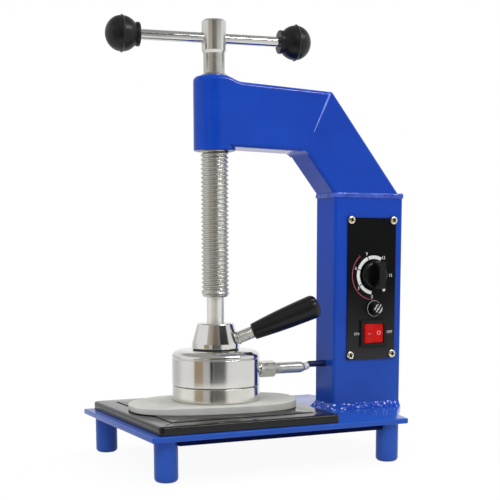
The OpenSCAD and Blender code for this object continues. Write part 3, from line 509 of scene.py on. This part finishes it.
def ball_profile():
    """A ball knob: a thick collar, a groove, a ball of radius times cosine that is flattened beyond its
    middle, and a pointed seam where the mould parted."""
    a = np.concatenate([np.linspace(-47, -7, 24), np.linspace(-6, 6, 13), np.linspace(7, 89.5, 40)])
    a = np.radians(a)
    r = BALL_R * np.cos(a) + 1.0 * np.clip(1 - np.abs(a) / math.radians(5), 0, 1) ** 1.3
    z = np.where(a < 0, BALL_R, 15.4) * np.sin(a)
    neck = soften([(4.9, -16.8), (10.6, -16.8), (11.0, -16.3), (11.0, -13.7), (10.2, -13.2), (10.8, -12.3)],
                  [0, 0.4, 0.4, 0.4, 0.3, 0], 5)
    return np.vstack([neck, np.stack([r, z], 1)])


yaw = math.radians(BAR_YAW)
bar_way = np.array([math.cos(yaw), math.sin(yaw), 0.0])
for side, label in ((-1, "left"), (1, "right")):
    w = side * bar_way
    centre = np.array([HEAD_X, 0, BAR_Z]) + (BAR_SHIFT + side * BALL_HALF) * bar_way
    spun("ball_knob_" + label + "_moulded", ball_profile(), 96, centre, "bar", BAKELITE,
         ["ball_knob_" + label], "bakelite", 28, (np.cross(Z, w), Z, w))

head_at = (HEAD_X, 0, 0)
house = soften([(0.5, SEAM_Z + 0.35), (HEAD_R - 0.6, SEAM_Z + 0.35), (HEAD_R, SEAM_Z + 0.9), (HEAD_R, 101.2),
                (HEAD_R - 0.5, 101.7), (HEAD_R - 0.5, 102.3), (HEAD_R, 102.8), (HEAD_R - 0.3, 105.8),
                (39.6, 108.7), (32.0, 109.6), (0.5, 109.6)],
               [0, 0.3, 0.4, 0.2, 0.2, 0.2, 0.3, 2.2, 2.6, 3.0, 0], 7)
spun("heater_shell", house, 160, head_at, "head", HEAD_METAL, ["heater_housing"], "head_alloy")
disc = soften([(0.5, HEAD_Z), (HEAD_R - 0.5, HEAD_Z), (HEAD_R + 0.4, HEAD_Z + 0.9),
               (HEAD_R - 0.4, SEAM_Z - 0.5), (HEAD_R - 0.9, SEAM_Z), (0.5, SEAM_Z)],
              [0, 0.6, 0.6, 0.4, 0.4, 0], 5)
spun("heating_plate_turned", disc, 160, head_at, "head", PLATE_METAL, ["heating_plate"], "head_alloy")
cone = soften([(8.6, COLLAR_Z), (COLLAR_R - 0.6, COLLAR_Z), (COLLAR_R, COLLAR_Z + 0.6),
               (COLLAR_R, COLLAR_Z + 5), (18.1, COLLAR_TOP - 0.8), (17.3, COLLAR_TOP), (8.6, COLLAR_TOP)],
              [0, 0.4, 0.5, 0.6, 0.6, 0.6, 0], 6)
spun("collar_turned", cone, 160, head_at, "head", COLLAR_METAL, ["collar"], "head_alloy")

swing, rise = math.radians(LEVER_YAW), math.radians(LEVER_RISE)
lever_w = np.array([math.cos(rise) * math.cos(swing), math.cos(rise) * math.sin(swing), math.sin(rise)])
lever_u = np.array([-math.sin(swing), math.cos(swing), 0.0])
LEVER = (lever_u, np.cross(lever_w, lever_u), lever_w)
lever_at = (HEAD_X, 0, LEVER_Z)
stud = soften([(0.5, 21.6), (5.6, 21.6), (6.0, 22), (6.0, 39.5), (5.6, 40), (0.5, 40)],
              [0, 0.3, 0.3, 0.3, 0.3, 0], 4)
spun("handle_stud_knurled", stud, 64, lever_at, "head", STUD_METAL, ["handle_stud"], "screw_steel",
     axes=LEVER)
a = np.radians(np.arange(0, 360, 30))
lip = np.stack([6.5 + 0.55 * np.cos(a), 24.4 + 0.75 * np.sin(a)], 1)
spun("handle_stud_rim", lip, 64, lever_at, "head", COLLAR_METAL, [], "head_alloy", axes=LEVER, loop=True)


def grip_skin():
    """The grip: a taper with a slight swell, rounded off at the end, a soft lip at the root, and two shallow
    notches cut into the end."""
    s = np.concatenate([np.linspace(0, 1.2, 6), np.linspace(2, 62.5, 40),
                        GRIP_L + GRIP_END * np.sin(np.linspace(0.0, np.pi / 2, 18))])
    t = around(128)
    u = np.clip(s / GRIP_L, 0, 1)
    end = np.clip((s - GRIP_L) / GRIP_END, 0, 1)
    r = 8.1 + 3.7 * u + 0.7 * np.sin(np.pi * u)
    r = r - 0.9 * np.clip(1 - s / 1.2, 0, 1) ** 2 - GRIP_END * (1 - np.sqrt(np.clip(1 - end ** 2, 0, 1)))
    notch = sum(np.exp(-((np.angle(np.exp(1j * (t - a)))) / 0.11) ** 2) for a in (2.5, -0.64))
    radius = r[:, None] - 0.9 * notch * np.clip((s[:, None] - 58.5) / 6, 0, 1) * (r[:, None] > 2)
    ring = np.cos(t)[:, None] * LEVER[0] + np.sin(t)[:, None] * LEVER[1]
    return skin(np.asarray(lever_at) + radius[..., None] * ring + (GRIP_FROM + s)[:, None, None] * LEVER[2])


piece("handle_grip_moulded", *grip_skin(), "head", BAKELITE, ["handle_grip"], "bakelite", 50)


def gland_skin():
    """The gland nut: a hexagon's radius, which is half its width over the cosine of the turn from the nearest
    flat, held inside a chamfer cone at both ends."""
    s = np.concatenate([[0, 0.02], np.linspace(0.3, 1.2, 5), [8.3], np.linspace(15.4, 16.3, 5),
                        [16.58, NUT_L]])
    t = around(120)
    flat = 7.5 / np.cos((t + math.radians(39)) % (np.pi / 3) - np.pi / 6)
    chamfer = 7.6 + 1.1 * np.clip(np.minimum(s, NUT_L - s) / 1.0, 0, 1)
    r = np.minimum(flat[None], chamfer[:, None])
    r[0] = r[-1] = 3.4
    x = np.broadcast_to(NUT_X + s[:, None], r.shape)
    return skin(np.stack([x, r * np.sin(t), LEAD_Z + r * np.cos(t)], -1))


piece("gland_hex", *gland_skin(), "head", NICKEL, ["gland_nut"], "gland_nickel", 25)


def lead_part(name, x, radius, n, finish, node, slot):
    """A part of the lead: a rod along a line that is level to the end of the sleeve, then makes a short
    smooth step up, and is level into the column."""
    u = np.clip((x - SLEEVE_X - 34.5) / 8, 0, 1)
    path = np.stack([x, np.zeros_like(x), LEAD_Z + LEAD_RISE * u * u * (3 - 2 * u)], 1)
    obj = piece(name, *skin(along(path, radius, n)), None, finish, [node], slot)
    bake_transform(obj)


x = np.linspace(0.1, 34.6, 120)
groove = np.exp(-((x - 2.4) / 0.45) ** 2) + np.exp(-((x - 4.6) / 0.45) ** 2)
r = SLEEVE_R - 0.6 * groove - 1.7 * np.clip((x - 29.0) / 5.6, 0, 1) ** 2
lead_part("lead_sleeve_turned", SLEEVE_X + x, r, 48, SLEEVE_METAL, "lead_sleeve", "gland_nickel")
x = np.linspace(33.6, 39.4, 24)
r = 3.9 - 0.4 * np.clip((x - 37.4) / 2, 0, 1) ** 2
lead_part("lead_end_ring", SLEEVE_X + x, r, 40, RING_PALE, "lead_sleeve", "gland_nickel")
x = np.linspace(SLEEVE_X + 38, COL_X + 11, 80)
# The cable's navy tone is a painted reflection of the blue column
lead_part("heater_cable", x, np.full_like(x, LEAD_R), 40, CABLE_PAINTED_REFLECTION, "heater_lead", "black_rubber")


def pad_skin():
    """The work pad: a superellipse outline of power 2.5, eased in at the lower and upper edge, with a
    slightly wandering edge. Beyond the head it is a little thinner to the left and thicker to the right."""
    t = around(192)
    c, s = np.cos(t), np.sin(t)
    edge = np.stack([PAD_LONG * np.sign(c) * np.abs(c) ** 0.8, PAD_WIDE * np.sign(s) * np.abs(s) ** 0.8], 1)
    a = math.radians(PAD_YAW)
    edge = edge @ np.array([[math.cos(a), math.sin(a)], [-math.sin(a), math.cos(a)]])
    q = np.linspace(0, np.pi / 2, 7)
    scale = np.concatenate([[0.2, 0.6], 1 - 0.012 * (1 - np.sin(q)), 1 - 0.01 * (1 - np.cos(q)),
                            np.linspace(0.97, 0.05, 12)])
    height = np.concatenate([[0, 0], 0.7 - 0.7 * np.cos(q), 6.4 + 0.8 * np.sin(q), np.full(12, 7.2)])
    wobble = 1 + 0.004 * ripple(t, 4, (2, 3, 5, 7))
    p = np.empty((len(scale), len(t), 3))
    p[..., :2] = scale[:, None, None] * (edge * wobble[:, None]) + np.array([PAD_X, PAD_Y])
    far = p[..., 0] - HEAD_X
    swell = 1 - 0.2 * np.clip((-far - 44) / 40, 0, 1) + 0.14 * np.clip((far - 44) / 30, 0, 1)
    p[..., 2] = TRAY_TOP + height[:, None] * swell
    return skin(p)


pad = piece("work_pad_pressed", *pad_skin(), "frame", PAD, ["work_pad"], "pad_fibre", 60)

tray_at = (TRAY_X, 0, BASE_TOP)
rim = [(2.4 - 2.4 * math.cos(a), 6.0 + 2.4 * math.sin(a)) for a in np.linspace(0, np.pi / 2, 7)]
rim = [(0.6, 0), (0, 0.6)] + rim + [(17.6, 8.4), (17.95, 8.1), (18.0, 4.6), (30, 4.1)]
slab("platen_tray_cast", TRAY_L, TRAY_W, 5.0, rim, tray_at, TRAY_BLACK, "platen_tray", "platen_black")
core = [(0.3, 4.05), (0, 4.4), (0, 8.6), (0.12, 8.9), (0.5, 9.0)]
slab("platen_insert_cast", TRAY_L - 2 * TRAY_RIM, TRAY_W - 2 * TRAY_RIM, 2.0, core, tray_at, TRAY_BLACK,
     "platen_insert", "platen_black")

near = [(LEFT, -BASE_HALF), (LEFT + BASE_L, -BASE_HALF), (TAIL_X, -TAIL_SIDE), (RIGHT, -TAIL_HALF)]
plan = soften(near + [(x, -y) for x, y in near[::-1]], 2.2, 6, True)
levels = edge_levels(5.0, 0.9)
rings = stacked([inset(plan, d) for d, _ in levels], [z for _, z in levels], (0, 0, BASE_Z))
piece("base_plate_cut", *skin(rings), "frame", BLUE, ["base_plate"], "blue_paint", 50)

for side, label in ((-1, "front"), (1, "rear")):
    middle = LEFT + (RAIL_LEFT + BASE_L - RAIL_RIGHT) / 2
    at = (middle, side * (BASE_HALF - RAIL_IN - RAIL_T / 2), BASE_Z - RAIL_H)
    # The rails take the painted shade finish
    slab(label + "_rail_folded", BASE_L - RAIL_LEFT - RAIL_RIGHT, RAIL_T, 0.8, edge_levels(RAIL_H, 0.6), at,
         RAIL_PAINTED_SHADE, label + "_rail", "blue_paint", 50)


def bead(name, z, out, up, reach, rise, rough, seed, side, node, finish):
    """A weld bead round the column: a cross-section of out and up carried along the column's outline, its
    reach and rise uneven along the run, widest on the left and narrower on the right by the given share."""
    corners = box_outline(COL_W, COL_D, COL_R)
    loop = np.vstack([corners, corners[:1]])
    run = np.concatenate([[0], np.cumsum(np.linalg.norm(np.diff(loop, axis=0), axis=1))])
    even = np.linspace(0, run[-1], 720, endpoint=False)
    line = np.stack([np.interp(even, run, loop[:, 0]), np.interp(even, run, loop[:, 1])], 1)
    t = even / run[-1] * TURN
    lump = 1 + rough * ripple(t, seed, (7, 13, 29, 47, 83))
    slant = t[None, :] + np.linspace(0, 0.25, len(out))[:, None]
    fine = 1 + rough * 0.6 * ripple(slant, seed + 1, (61, 97, 139))
    normal = line - inset(line, 1.0)
    share = 0.8 + 0.3 * np.maximum(-normal[:, 0], 0) - side * np.maximum(normal[:, 0], 0)
    proud = np.where(out > 0, out, 0.0)[:, None] * reach * share * lump * fine
    rings = np.zeros((len(out), len(line), 3))
    rings[..., :2] = line + (proud + np.minimum(out, 0)[:, None])[..., None] * normal
    rings[..., 2] = z + up[:, None] * rise * (0.6 + 0.4 * lump)
    rings[..., 0] += COL_X + COL_W / 2
    return piece(name, *skin(rings, True), "frame", finish, [node], "blue_paint", 70)


a = np.linspace(0, np.pi / 2, 15)
out = np.concatenate([0.55 * np.cos(a) ** 1.5 + 0.45 * (1 - np.sin(a)), [-0.6, -0.6]])
up = np.concatenate([0.55 * np.sin(a) ** 1.5 + 0.45 * (1 - np.cos(a)), [1.0, 0.0]])
# The foot bead's finish carries painted glints
bead("column_foot_bead", BASE_TOP - 0.2, out, up, 5.6, 6.0, 0.2, 11, 0.75, "column_weld", WELD_BLUE)
a = np.linspace(-np.pi / 2, np.pi / 2, 15)
out, up = np.concatenate([np.cos(a), [-0.6, -0.6]]), np.concatenate([np.sin(a), [1.0, -1.0]])
# The top bead's finish carries painted highlight patches
bead("column_top_bead", COL_TOP, out, up, 1.5, 2.6, 0.18, 5, 0.0, "brace_weld", TOP_WELD_BLUE)


def mitre_seam():
    """The ground weld on the mitre of arm and brace: a low half-round ridge along the mitre line on both side
    faces, thinning out downwards."""
    left = COL_X + 0.7 - (ARM_LOW - COL_TOP) / math.tan(math.radians(BRACE_TILT))
    low = np.array([left, ARM_LOW])
    high = np.array([left + (ARM_TOP - ARM_LOW) * math.tan(math.radians(MITRE_TILT)), ARM_TOP])
    u = np.linspace(0.3, 0.93, 60)
    line = low + u[:, None] * (high - low)
    across = np.array([(high - low)[1], -(high - low)[0]]) / np.linalg.norm(high - low)
    t = around(12)
    size = (0.35 + 0.65 * np.clip((u - 0.3) / 0.4, 0, 1)) * (1 + 0.12 * ripple(u * 6, 3, (3, 7, 13)))
    flat = line[:, None] + (size[:, None] * 0.9 * np.cos(t))[..., None] * across
    depth = COL_D / 2 + size[:, None] * 0.35 * np.sin(t)
    return both_sides(np.stack([flat[..., 0], depth, flat[..., 1]], -1))


def edge_rounds():
    """Smooth rounds on the arm's two upper edges, a hair proud of them: a quarter ring carried along the top
    line, which falls to the brace and rises to the boss by half a cosine."""
    start, fall, edge = HEAD_X + 3.0, math.tan(math.radians(ARM_FALL)), 4
    x = np.linspace(HEAD_X + 5.0, COL_X - 11.0, 150)
    u = np.clip((x - start) / 18.5, 0, 1)
    line = lambda v: ARM_TOP + fall * (HEAD_X + 65.4 - v)
    top = line(x) + (BOSS_TOP - 0.15 - line(start)) * (1 + np.cos(np.pi * u)) / 2
    a = np.radians(np.linspace(-3, 93, 30))
    r = np.concatenate([np.full(30, edge + 0.06), np.full(30, edge - 0.4)])
    a = np.concatenate([a, a[::-1]])
    p = np.empty((len(x), 60, 3))
    p[..., 0], p[..., 1] = x[:, None], COL_D / 2 - edge + r * np.cos(a)
    p[..., 2] = top[:, None] - edge + r * np.sin(a)
    return both_sides(p)


piece("arm_edge_rounds", *edge_rounds(), "frame", EDGE_BLUE, [], "blue_paint", 60)
# The mitre ridge is pale blue as a painted highlight
piece("mitre_weld", *mitre_seam(), "frame", MITRE_PAINTED_HIGHLIGHT, [], "blue_paint", 60)


def on_face(x, z, r, t, h):
    """A skin on the panel's side about x and z: radius r at turn t, standing out by the height h."""
    ring = (r[:, None] * np.cos(t))[..., None] * X + (r[:, None] * np.sin(t))[..., None] * Z
    return skin(np.array([x, PANEL_Y, z]) + ring - h[..., None] * Y)


def screw_heads():
    """Panel screws: a pan head, highest in the middle by the root of one less the squared radius, with a
    cross recess cut where either turned coordinate is small."""
    r = np.concatenate([[3.2, 4.1, 4.1], np.linspace(4.05, 0.05, 28)])
    t = around(72)
    dome = 0.8 + 1.7 * np.sqrt(np.clip(1 - (r / 4.3) ** 2, 0, 1))
    dome[:2] = (0.0, 0.0)
    pit = np.clip((1.5 - r[:, None]) / 0.4, 0, 1)
    upper, lower, reach = PANEL_Z + PANEL_H - 2.2, PANEL_Z + 5, PANEL_W / 2 - 3.4
    skins = []
    for side, z, turn in ((-1, upper, 0.3), (1, upper, 0.7), (-1, lower, 1.1), (1, lower, 0.1)):
        u, v = r[:, None] * np.cos(t + turn), r[:, None] * np.sin(t + turn)
        arm = np.minimum(np.abs(u), np.abs(v))
        slot = np.clip((0.75 - arm) / 0.3, 0, 1) * np.clip((2.6 - r[:, None]) / 0.5, 0, 1)
        h = dome[:, None] - 1.9 * np.maximum(slot, pit)
        h[:3] = dome[:3, None]
        skins.append(on_face(PANEL_X + side * reach, z, r, t, h))
    return join(skins)


# The screw heads' dark recesses are painted shade
piece("panel_screw_heads", *screw_heads(), "frame", SCREW_HEAD, ["panel_screws"], "brass_screw", 30)


def arc_band(inner, outer, start, stop, thick=0.08):
    """A printed arc: a thin strip between two radii about the dial's middle, from one angle to another, lying
    on the panel."""
    a = np.radians(np.linspace(start, stop, max(4, int(abs(stop - start) / 2))))
    r = np.array([inner, outer, outer, inner])
    h = np.array([0, 0, thick, thick])
    p = np.zeros((len(a), 4, 3))
    p[..., 0] = DIAL_X + r * np.cos(a)[:, None]
    p[..., 2] = DIAL_Z + r * np.sin(a)[:, None]
    p[..., 1] = PANEL_Y - 0.01 - h
    return skin(p)


def on_dial(r, degrees):
    """The place at a radius and an angle from the dial's middle."""
    return DIAL_X + r * math.cos(math.radians(degrees)), DIAL_Z + r * math.sin(math.radians(degrees))


def printed(name, shape, finish):
    """A printed mark on the panel."""
    piece(name, *shape, "frame", finish, [], "panel_black", 60)


SCALE_FROM, SCALE_STEP, SCALE_GAP = 60, 51.25, 1.6
ARC_FROM, ARC_TO, DOT_R = 133, 267, 1.8
starts = [SCALE_FROM + SCALE_STEP * k for k in range(4)]
scale = [arc_band(16.4, 19.9, s + SCALE_GAP, s + SCALE_STEP - SCALE_GAP) for s in starts]
printed("dial_scale", join(scale), PRINT)
bands = [(24.65, 25.75, ARC_FROM, ARC_TO), (23.4, 27.0, 129.5, 131.5), (23.9, 26.5, 131.5, ARC_FROM),
         (23.9, 26.5, ARC_TO, 268.5), (23.4, 27.0, 268.5, 270)]
printed("dial_timed_arc", join([arc_band(*band) for band in bands]), PRINT_RED)
printed("dial_timed_line", arc_band(25.05, 25.4, ARC_FROM, ARC_TO, 0.14), PRINT_PINK)
x, z = on_dial(19.8, -50.0)
dot = turned([(0.05, 0.0), (DOT_R, 0.0), (DOT_R, 0.08), (0.05, 0.08)], 32, (x, PANEL_Y - 0.01, z), FACE)
printed("dial_dot", skin(dot), PRINT)


def lettering(name, marks, body, finish, axes_at):
    """Printed figures: each text is made a mesh first, then its points go from the text's plane to the place
    and axes that axes_at gives for it."""
    points, faces, past = [], [], 0
    for text, size, *where in marks:
        curve = bpy.data.curves.new(name, "FONT")
        curve.body, curve.size, curve.extrude = text, size, 0.04
        curve.align_x, curve.align_y = "CENTER", "CENTER"
        holder = bpy.data.objects.new(name, curve)
        bpy.context.scene.collection.objects.link(holder)
        bpy.context.view_layer.update()
        shown = holder.evaluated_get(bpy.context.evaluated_depsgraph_get())
        mesh = bpy.data.meshes.new_from_object(shown)
        p = np.empty(len(mesh.vertices) * 3)
        mesh.vertices.foreach_get("co", p)
        p = p.reshape(-1, 3)
        at, (u, v, w) = axes_at(*where)
        points.append(at + p[:, :1] * u + p[:, 1:2] * v + (p[:, 2:] + 0.05) * w)
        faces += [[i + past for i in f.vertices] for f in mesh.polygons]
        past += len(p)
        bpy.data.objects.remove(holder)
        bpy.data.curves.remove(curve)
        bpy.data.meshes.remove(mesh)
    mesh = bpy.data.meshes.new(name)
    mesh.from_pydata((np.vstack(points) * MM).tolist(), [], faces)
    mesh.materials.append(finish)
    obj = bpy.data.objects.new(name, mesh)
    bpy.context.scene.collection.objects.link(obj)
    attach(obj, body)
    return obj


def on_panel(x, z):
    """A place on the panel, with the panel's axes."""
    return np.array([x, PANEL_Y, z]), FACE


def on_rocker(side):
    """A place on one half of the rocker's face, which is turned by its tilt and by the face's own slope."""
    tilt, slope = math.radians(8), math.radians(-side * 7.0)
    c, s = math.cos(tilt), math.sin(tilt)
    x, y = side * 6.2, -3.2 - 6.2 * 1.4 / 11.4
    at = np.array([DIAL_X + x * c - y * s, PANEL_Y + 2 + x * s + y * c, SWITCH_Z])
    b = tilt + slope
    return at, (np.array([math.cos(b), math.sin(b), 0]), Z, np.array([math.sin(b), -math.cos(b), 0]))


FIGURE, WORD = 4.6, 3.9
places = (("0", 22.2, 266), ("3", 22.2, 217), ("6", 22.2, 162), ("9", 22.9, 111.5), ("12", 20.9, 56.5),
          ("15", 20.4, -2))
figures = [(text, FIGURE, *on_dial(r, degrees)) for text, r, degrees in places]
words = [("ON", WORD, DIAL_X - 19.3, SWITCH_Z - 0.3), ("OFF", WORD, DIAL_X + 20.3, SWITCH_Z + 0.6)]
lettering("dial_figures", figures, "frame", PRINT, on_panel)
lettering("switch_words", words, "frame", PRINT, on_panel)
lettering("rocker_marks", [("–", 7.0, -1), ("O", 6.0, 1)], "rocker", PRINT_PALE, on_rocker)

a = np.radians(np.arange(0, 360, 20))
flange = np.stack([7.9 + 0.6 * np.cos(a), 2.1 + 0.6 * np.sin(a)], 1)
# The flange rim is grey as a painted highlight
spun("fuse_flange_rim", flange, 72, (DIAL_X, PANEL_Y, FUSE_Z), "frame", RIM_PAINTED_HIGHLIGHT, [], "black_plastic",
     axes=FACE, loop=True)


def fuse_end():
    """The fuse cap's bright end: a shallow disc whose height ripples in ribs across it, with a screwdriver
    slot left low in the middle."""
    r = np.concatenate([[4.6, 4.75], np.linspace(4.7, 0.05, 26)])
    t = around(96)
    u, v = r[:, None] * np.cos(t + 0.9), r[:, None] * np.sin(t + 0.9)
    h = 10.2 + 0.25 + 0.3 * np.clip(2 * np.sin(3.4 * v), -1, 1) - 0.3 * (np.abs(u) < 0.7)
    h[:2] = np.array([10.0, 10.1])[:, None]
    return on_face(DIAL_X, FUSE_Z, r, t, h)


# The cap end carries painted highlight stripes
piece("fuse_cap_end", *fuse_end(), "fuse_plug", FUSE_END, [], "fuse_metal", 20)

# The solids that are shown as they are, by finish
# Blue enamel here is paler low down as painted bounce light; the panel coat holds a painted reflection
for finish, names in (
    (BLUE, ("foot_front_left", "foot_front_right", "foot_rear_left", "foot_rear_right")),
    (BLUE, ("column", "brace", "arm")),
    (BRONZE, ("screw_nut", "heating_element", "thrust_washer")),
    (PANEL_BLACK, ("control_panel",)),
    (IVORY, ("timer_body",)),
    (PLASTIC, ("fuse_body", "switch_body", "timer_knob", "fuse_cap")),
    (NICKEL, ("fuse_link", "gland_neck_ring")),
    (RUBBER, ("lead_grommet", "inlet_grommet")),
    (STEEL, ("thermostat",)),
    (FIBRE, ("element_cover", "insulation_disc")),
    (CROWN_METAL, ("screw_crown",)),
    (BAR_METAL, ("tommy_bar",)),
    (RED, ("switch_rocker",)),
):
    for name in names:
        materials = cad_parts[name].data.materials
        materials.clear()
        materials.append(finish)


def studio():
    """White for the camera and an even pale light for matt surfaces. Polished ones see a studio whose tone
    changes with the compass direction, in one way near the horizon and in another above it, dim overhead."""
    world = bpy.data.worlds.new("studio")
    bpy.context.scene.world = world
    world.use_nodes = True
    tree = world.node_tree
    new, link = tree.nodes.new, tree.links.new

    def ground(strength, colour=None):
        b = new("ShaderNodeBackground")
        b.inputs["Strength"].default_value = strength
        if colour:
            link(colour, b.inputs["Color"])
        else:
            b.inputs["Color"].default_value = (1, 1, 1, 1)
        return b.outputs[0]

    def mixed(fac, a, b):
        m = new("ShaderNodeMixShader")
        for socket, value in zip(m.inputs, (fac, a, b)):
            link(value, socket)
        return m.outputs[0]

    def tones(stops):
        n = new("ShaderNodeValToRGB")
        link(round_about.outputs["Fac"], n.inputs["Fac"])
        while len(n.color_ramp.elements) < len(stops):
            n.color_ramp.elements.new(0.5)
        for e, (at, c) in zip(n.color_ramp.elements, stops):
            e.position, e.color = at, (*(c if isinstance(c, tuple) else (c, c, c)), 1)
        return n.outputs["Color"]

    def rising(low, high):
        n = new("ShaderNodeMapRange")
        n.inputs["From Min"].default_value, n.inputs["From Max"].default_value = low, high
        link(up.outputs["Z"], n.inputs["Value"])
        return n.outputs[0]

    coord = new("ShaderNodeTexCoord").outputs["Generated"]
    round_about = new("ShaderNodeTexGradient")
    round_about.gradient_type = "RADIAL"
    link(coord, round_about.inputs["Vector"])
    up = new("ShaderNodeSeparateXYZ")
    link(coord, up.inputs[0])
    brown, umber = (0.44, 0.34, 0.24), (0.21, 0.17, 0.13)
    level = tones([(0.0, 0.95), (0.018, 0.95), (0.027, brown), (0.087, brown), (0.097, 0.6), (0.138, 0.55),
                   (0.146, 0.03), (0.160, 0.03), (0.166, 0.34), (0.172, 0.13), (0.245, 0.18), (0.258, 0.5),
                   (0.275, 0.92), (0.5, 1.0), (0.72, 1.0), (0.8, 0.7), (0.86, 0.7), (0.92, 0.98), (1.0, 0.98)])
    raised = tones([(0.0, 1.0), (0.05, 1.0), (0.062, (0.56, 0.52, 0.47)), (0.12, (0.44, 0.38, 0.31)),
                    (0.165, umber), (0.2, umber), (0.24, 0.27), (0.255, 0.03), (0.365, 0.05), (0.385, 0.85),
                    (0.5, 1.0), (1.0, 1.0)])
    path = new("ShaderNodeLightPath")
    seen = new("ShaderNodeMath")
    seen.operation = "MAXIMUM"
    link(path.outputs["Is Camera Ray"], seen.inputs[0])
    link(path.outputs["Is Transmission Ray"], seen.inputs[1])
    walls = mixed(rising(0.14, 0.24), ground(0.95, level), ground(0.95, raised))
    polished = mixed(rising(0.5, 0.66), walls, ground(0.42))
    rest = mixed(path.outputs["Is Glossy Ray"], ground(0.7), polished)
    link(mixed(seen.outputs[0], rest, ground(1.0)), tree.nodes["World Output"].inputs["Surface"])


def floor():
    """A pale disc under the feet: near white for the camera, keeping a faint shadow, plain white towards its
    edge, and throwing back less light than it shows."""
    f = Finish("pale_floor", 0.9)
    tone = f.noise(3, 3.0)
    pale = f.ramp(tone, [(0.3, (0.84, 0.84, 0.84, 1)), (0.7, (0.86, 0.86, 0.86, 1))])
    dim = f.ramp(tone, [(0.3, (0.7, 0.7, 0.7, 1)), (0.7, (0.73, 0.73, 0.73, 1))])
    path = f.node("ShaderNodeLightPath").outputs
    f.paint(f.mixed(path["Is Diffuse Ray"], pale, dim))
    out = f.node("ShaderNodeVectorMath", operation="LENGTH")
    f.link(f.coord, out.inputs[0])
    fade = f.ranged(out.outputs["Value"], 0.25, 0.52, 0.94, 1.0)
    seen = f.calc("MAXIMUM", path["Is Camera Ray"], path["Is Glossy Ray"])
    glow = f.node("ShaderNodeEmission", Strength=1.0).outputs[0]
    mix = f.node("ShaderNodeMixShader")
    for socket, value in zip(mix.inputs, (f.calc("MULTIPLY", seen, fade), f.shader.outputs[0], glow)):
        f.link(value, socket)
    f.link(mix.outputs[0], f.tree.nodes["Material Output"].inputs["Surface"])
    points, faces = skin(turned([(530.0, 0.0), (300.0, 0.0), (100.0, 0.0)]))
    obj = piece("pale_floor", points, [faces[0], faces[2]], None, f.mat)


def lamp(name, at, aim, size, power):
    """A soft rectangular lamp at a place, pointing at another."""
    data = bpy.data.lights.new(name, "AREA")
    data.shape = "RECTANGLE"
    data.size, data.size_y, data.energy = size[0], size[1], power
    obj = bpy.data.objects.new(name, data)
    obj.location = at
    d = np.asarray(aim, float) - np.asarray(at, float)
    obj.rotation_euler = (math.acos(-d[2] / np.linalg.norm(d)), 0, math.atan2(d[1], d[0]) - math.pi / 2)
    bpy.context.scene.collection.objects.link(obj)
    return obj


studio()
floor()
# Key and top lamps light matt surfaces only; sheen and strip lamps only draw highlights on glossy ones
lamp("key", (-0.9, -1.5, 1.7), (0, 0, 0.2), (1.3, 0.7), 21).visible_glossy = False
lamp("sheen", (-0.9, -1.5, 1.7), (0, 0, 0.2), (1.3, 0.7), 10).visible_diffuse = False
lamp("top", (0.62, 0.0, 1.6), (0, 0, 0.3), (0.6, 0.8), 13).visible_glossy = False
lamp("strip", (0.64, -1.2, 1.28), (0, 0, 0.3), (1.2, 0.1), 13).visible_diffuse = False

camera = bpy.data.cameras.new("camera")
camera.lens, camera.sensor_width = 79.19, 36
camera.shift_x, camera.shift_y = -0.01352, 0.31224
eye = bpy.data.objects.new("camera", camera)
eye.location = (LEFT * MM - 0.3307, -0.9945, 0.2065)
eye.rotation_euler = (math.radians(81.93), math.radians(0.05), math.radians(-25.82))
bpy.context.scene.collection.objects.link(eye)
bpy.context.scene.camera = eye
bpy.context.scene.view_settings.view_transform = "Standard"
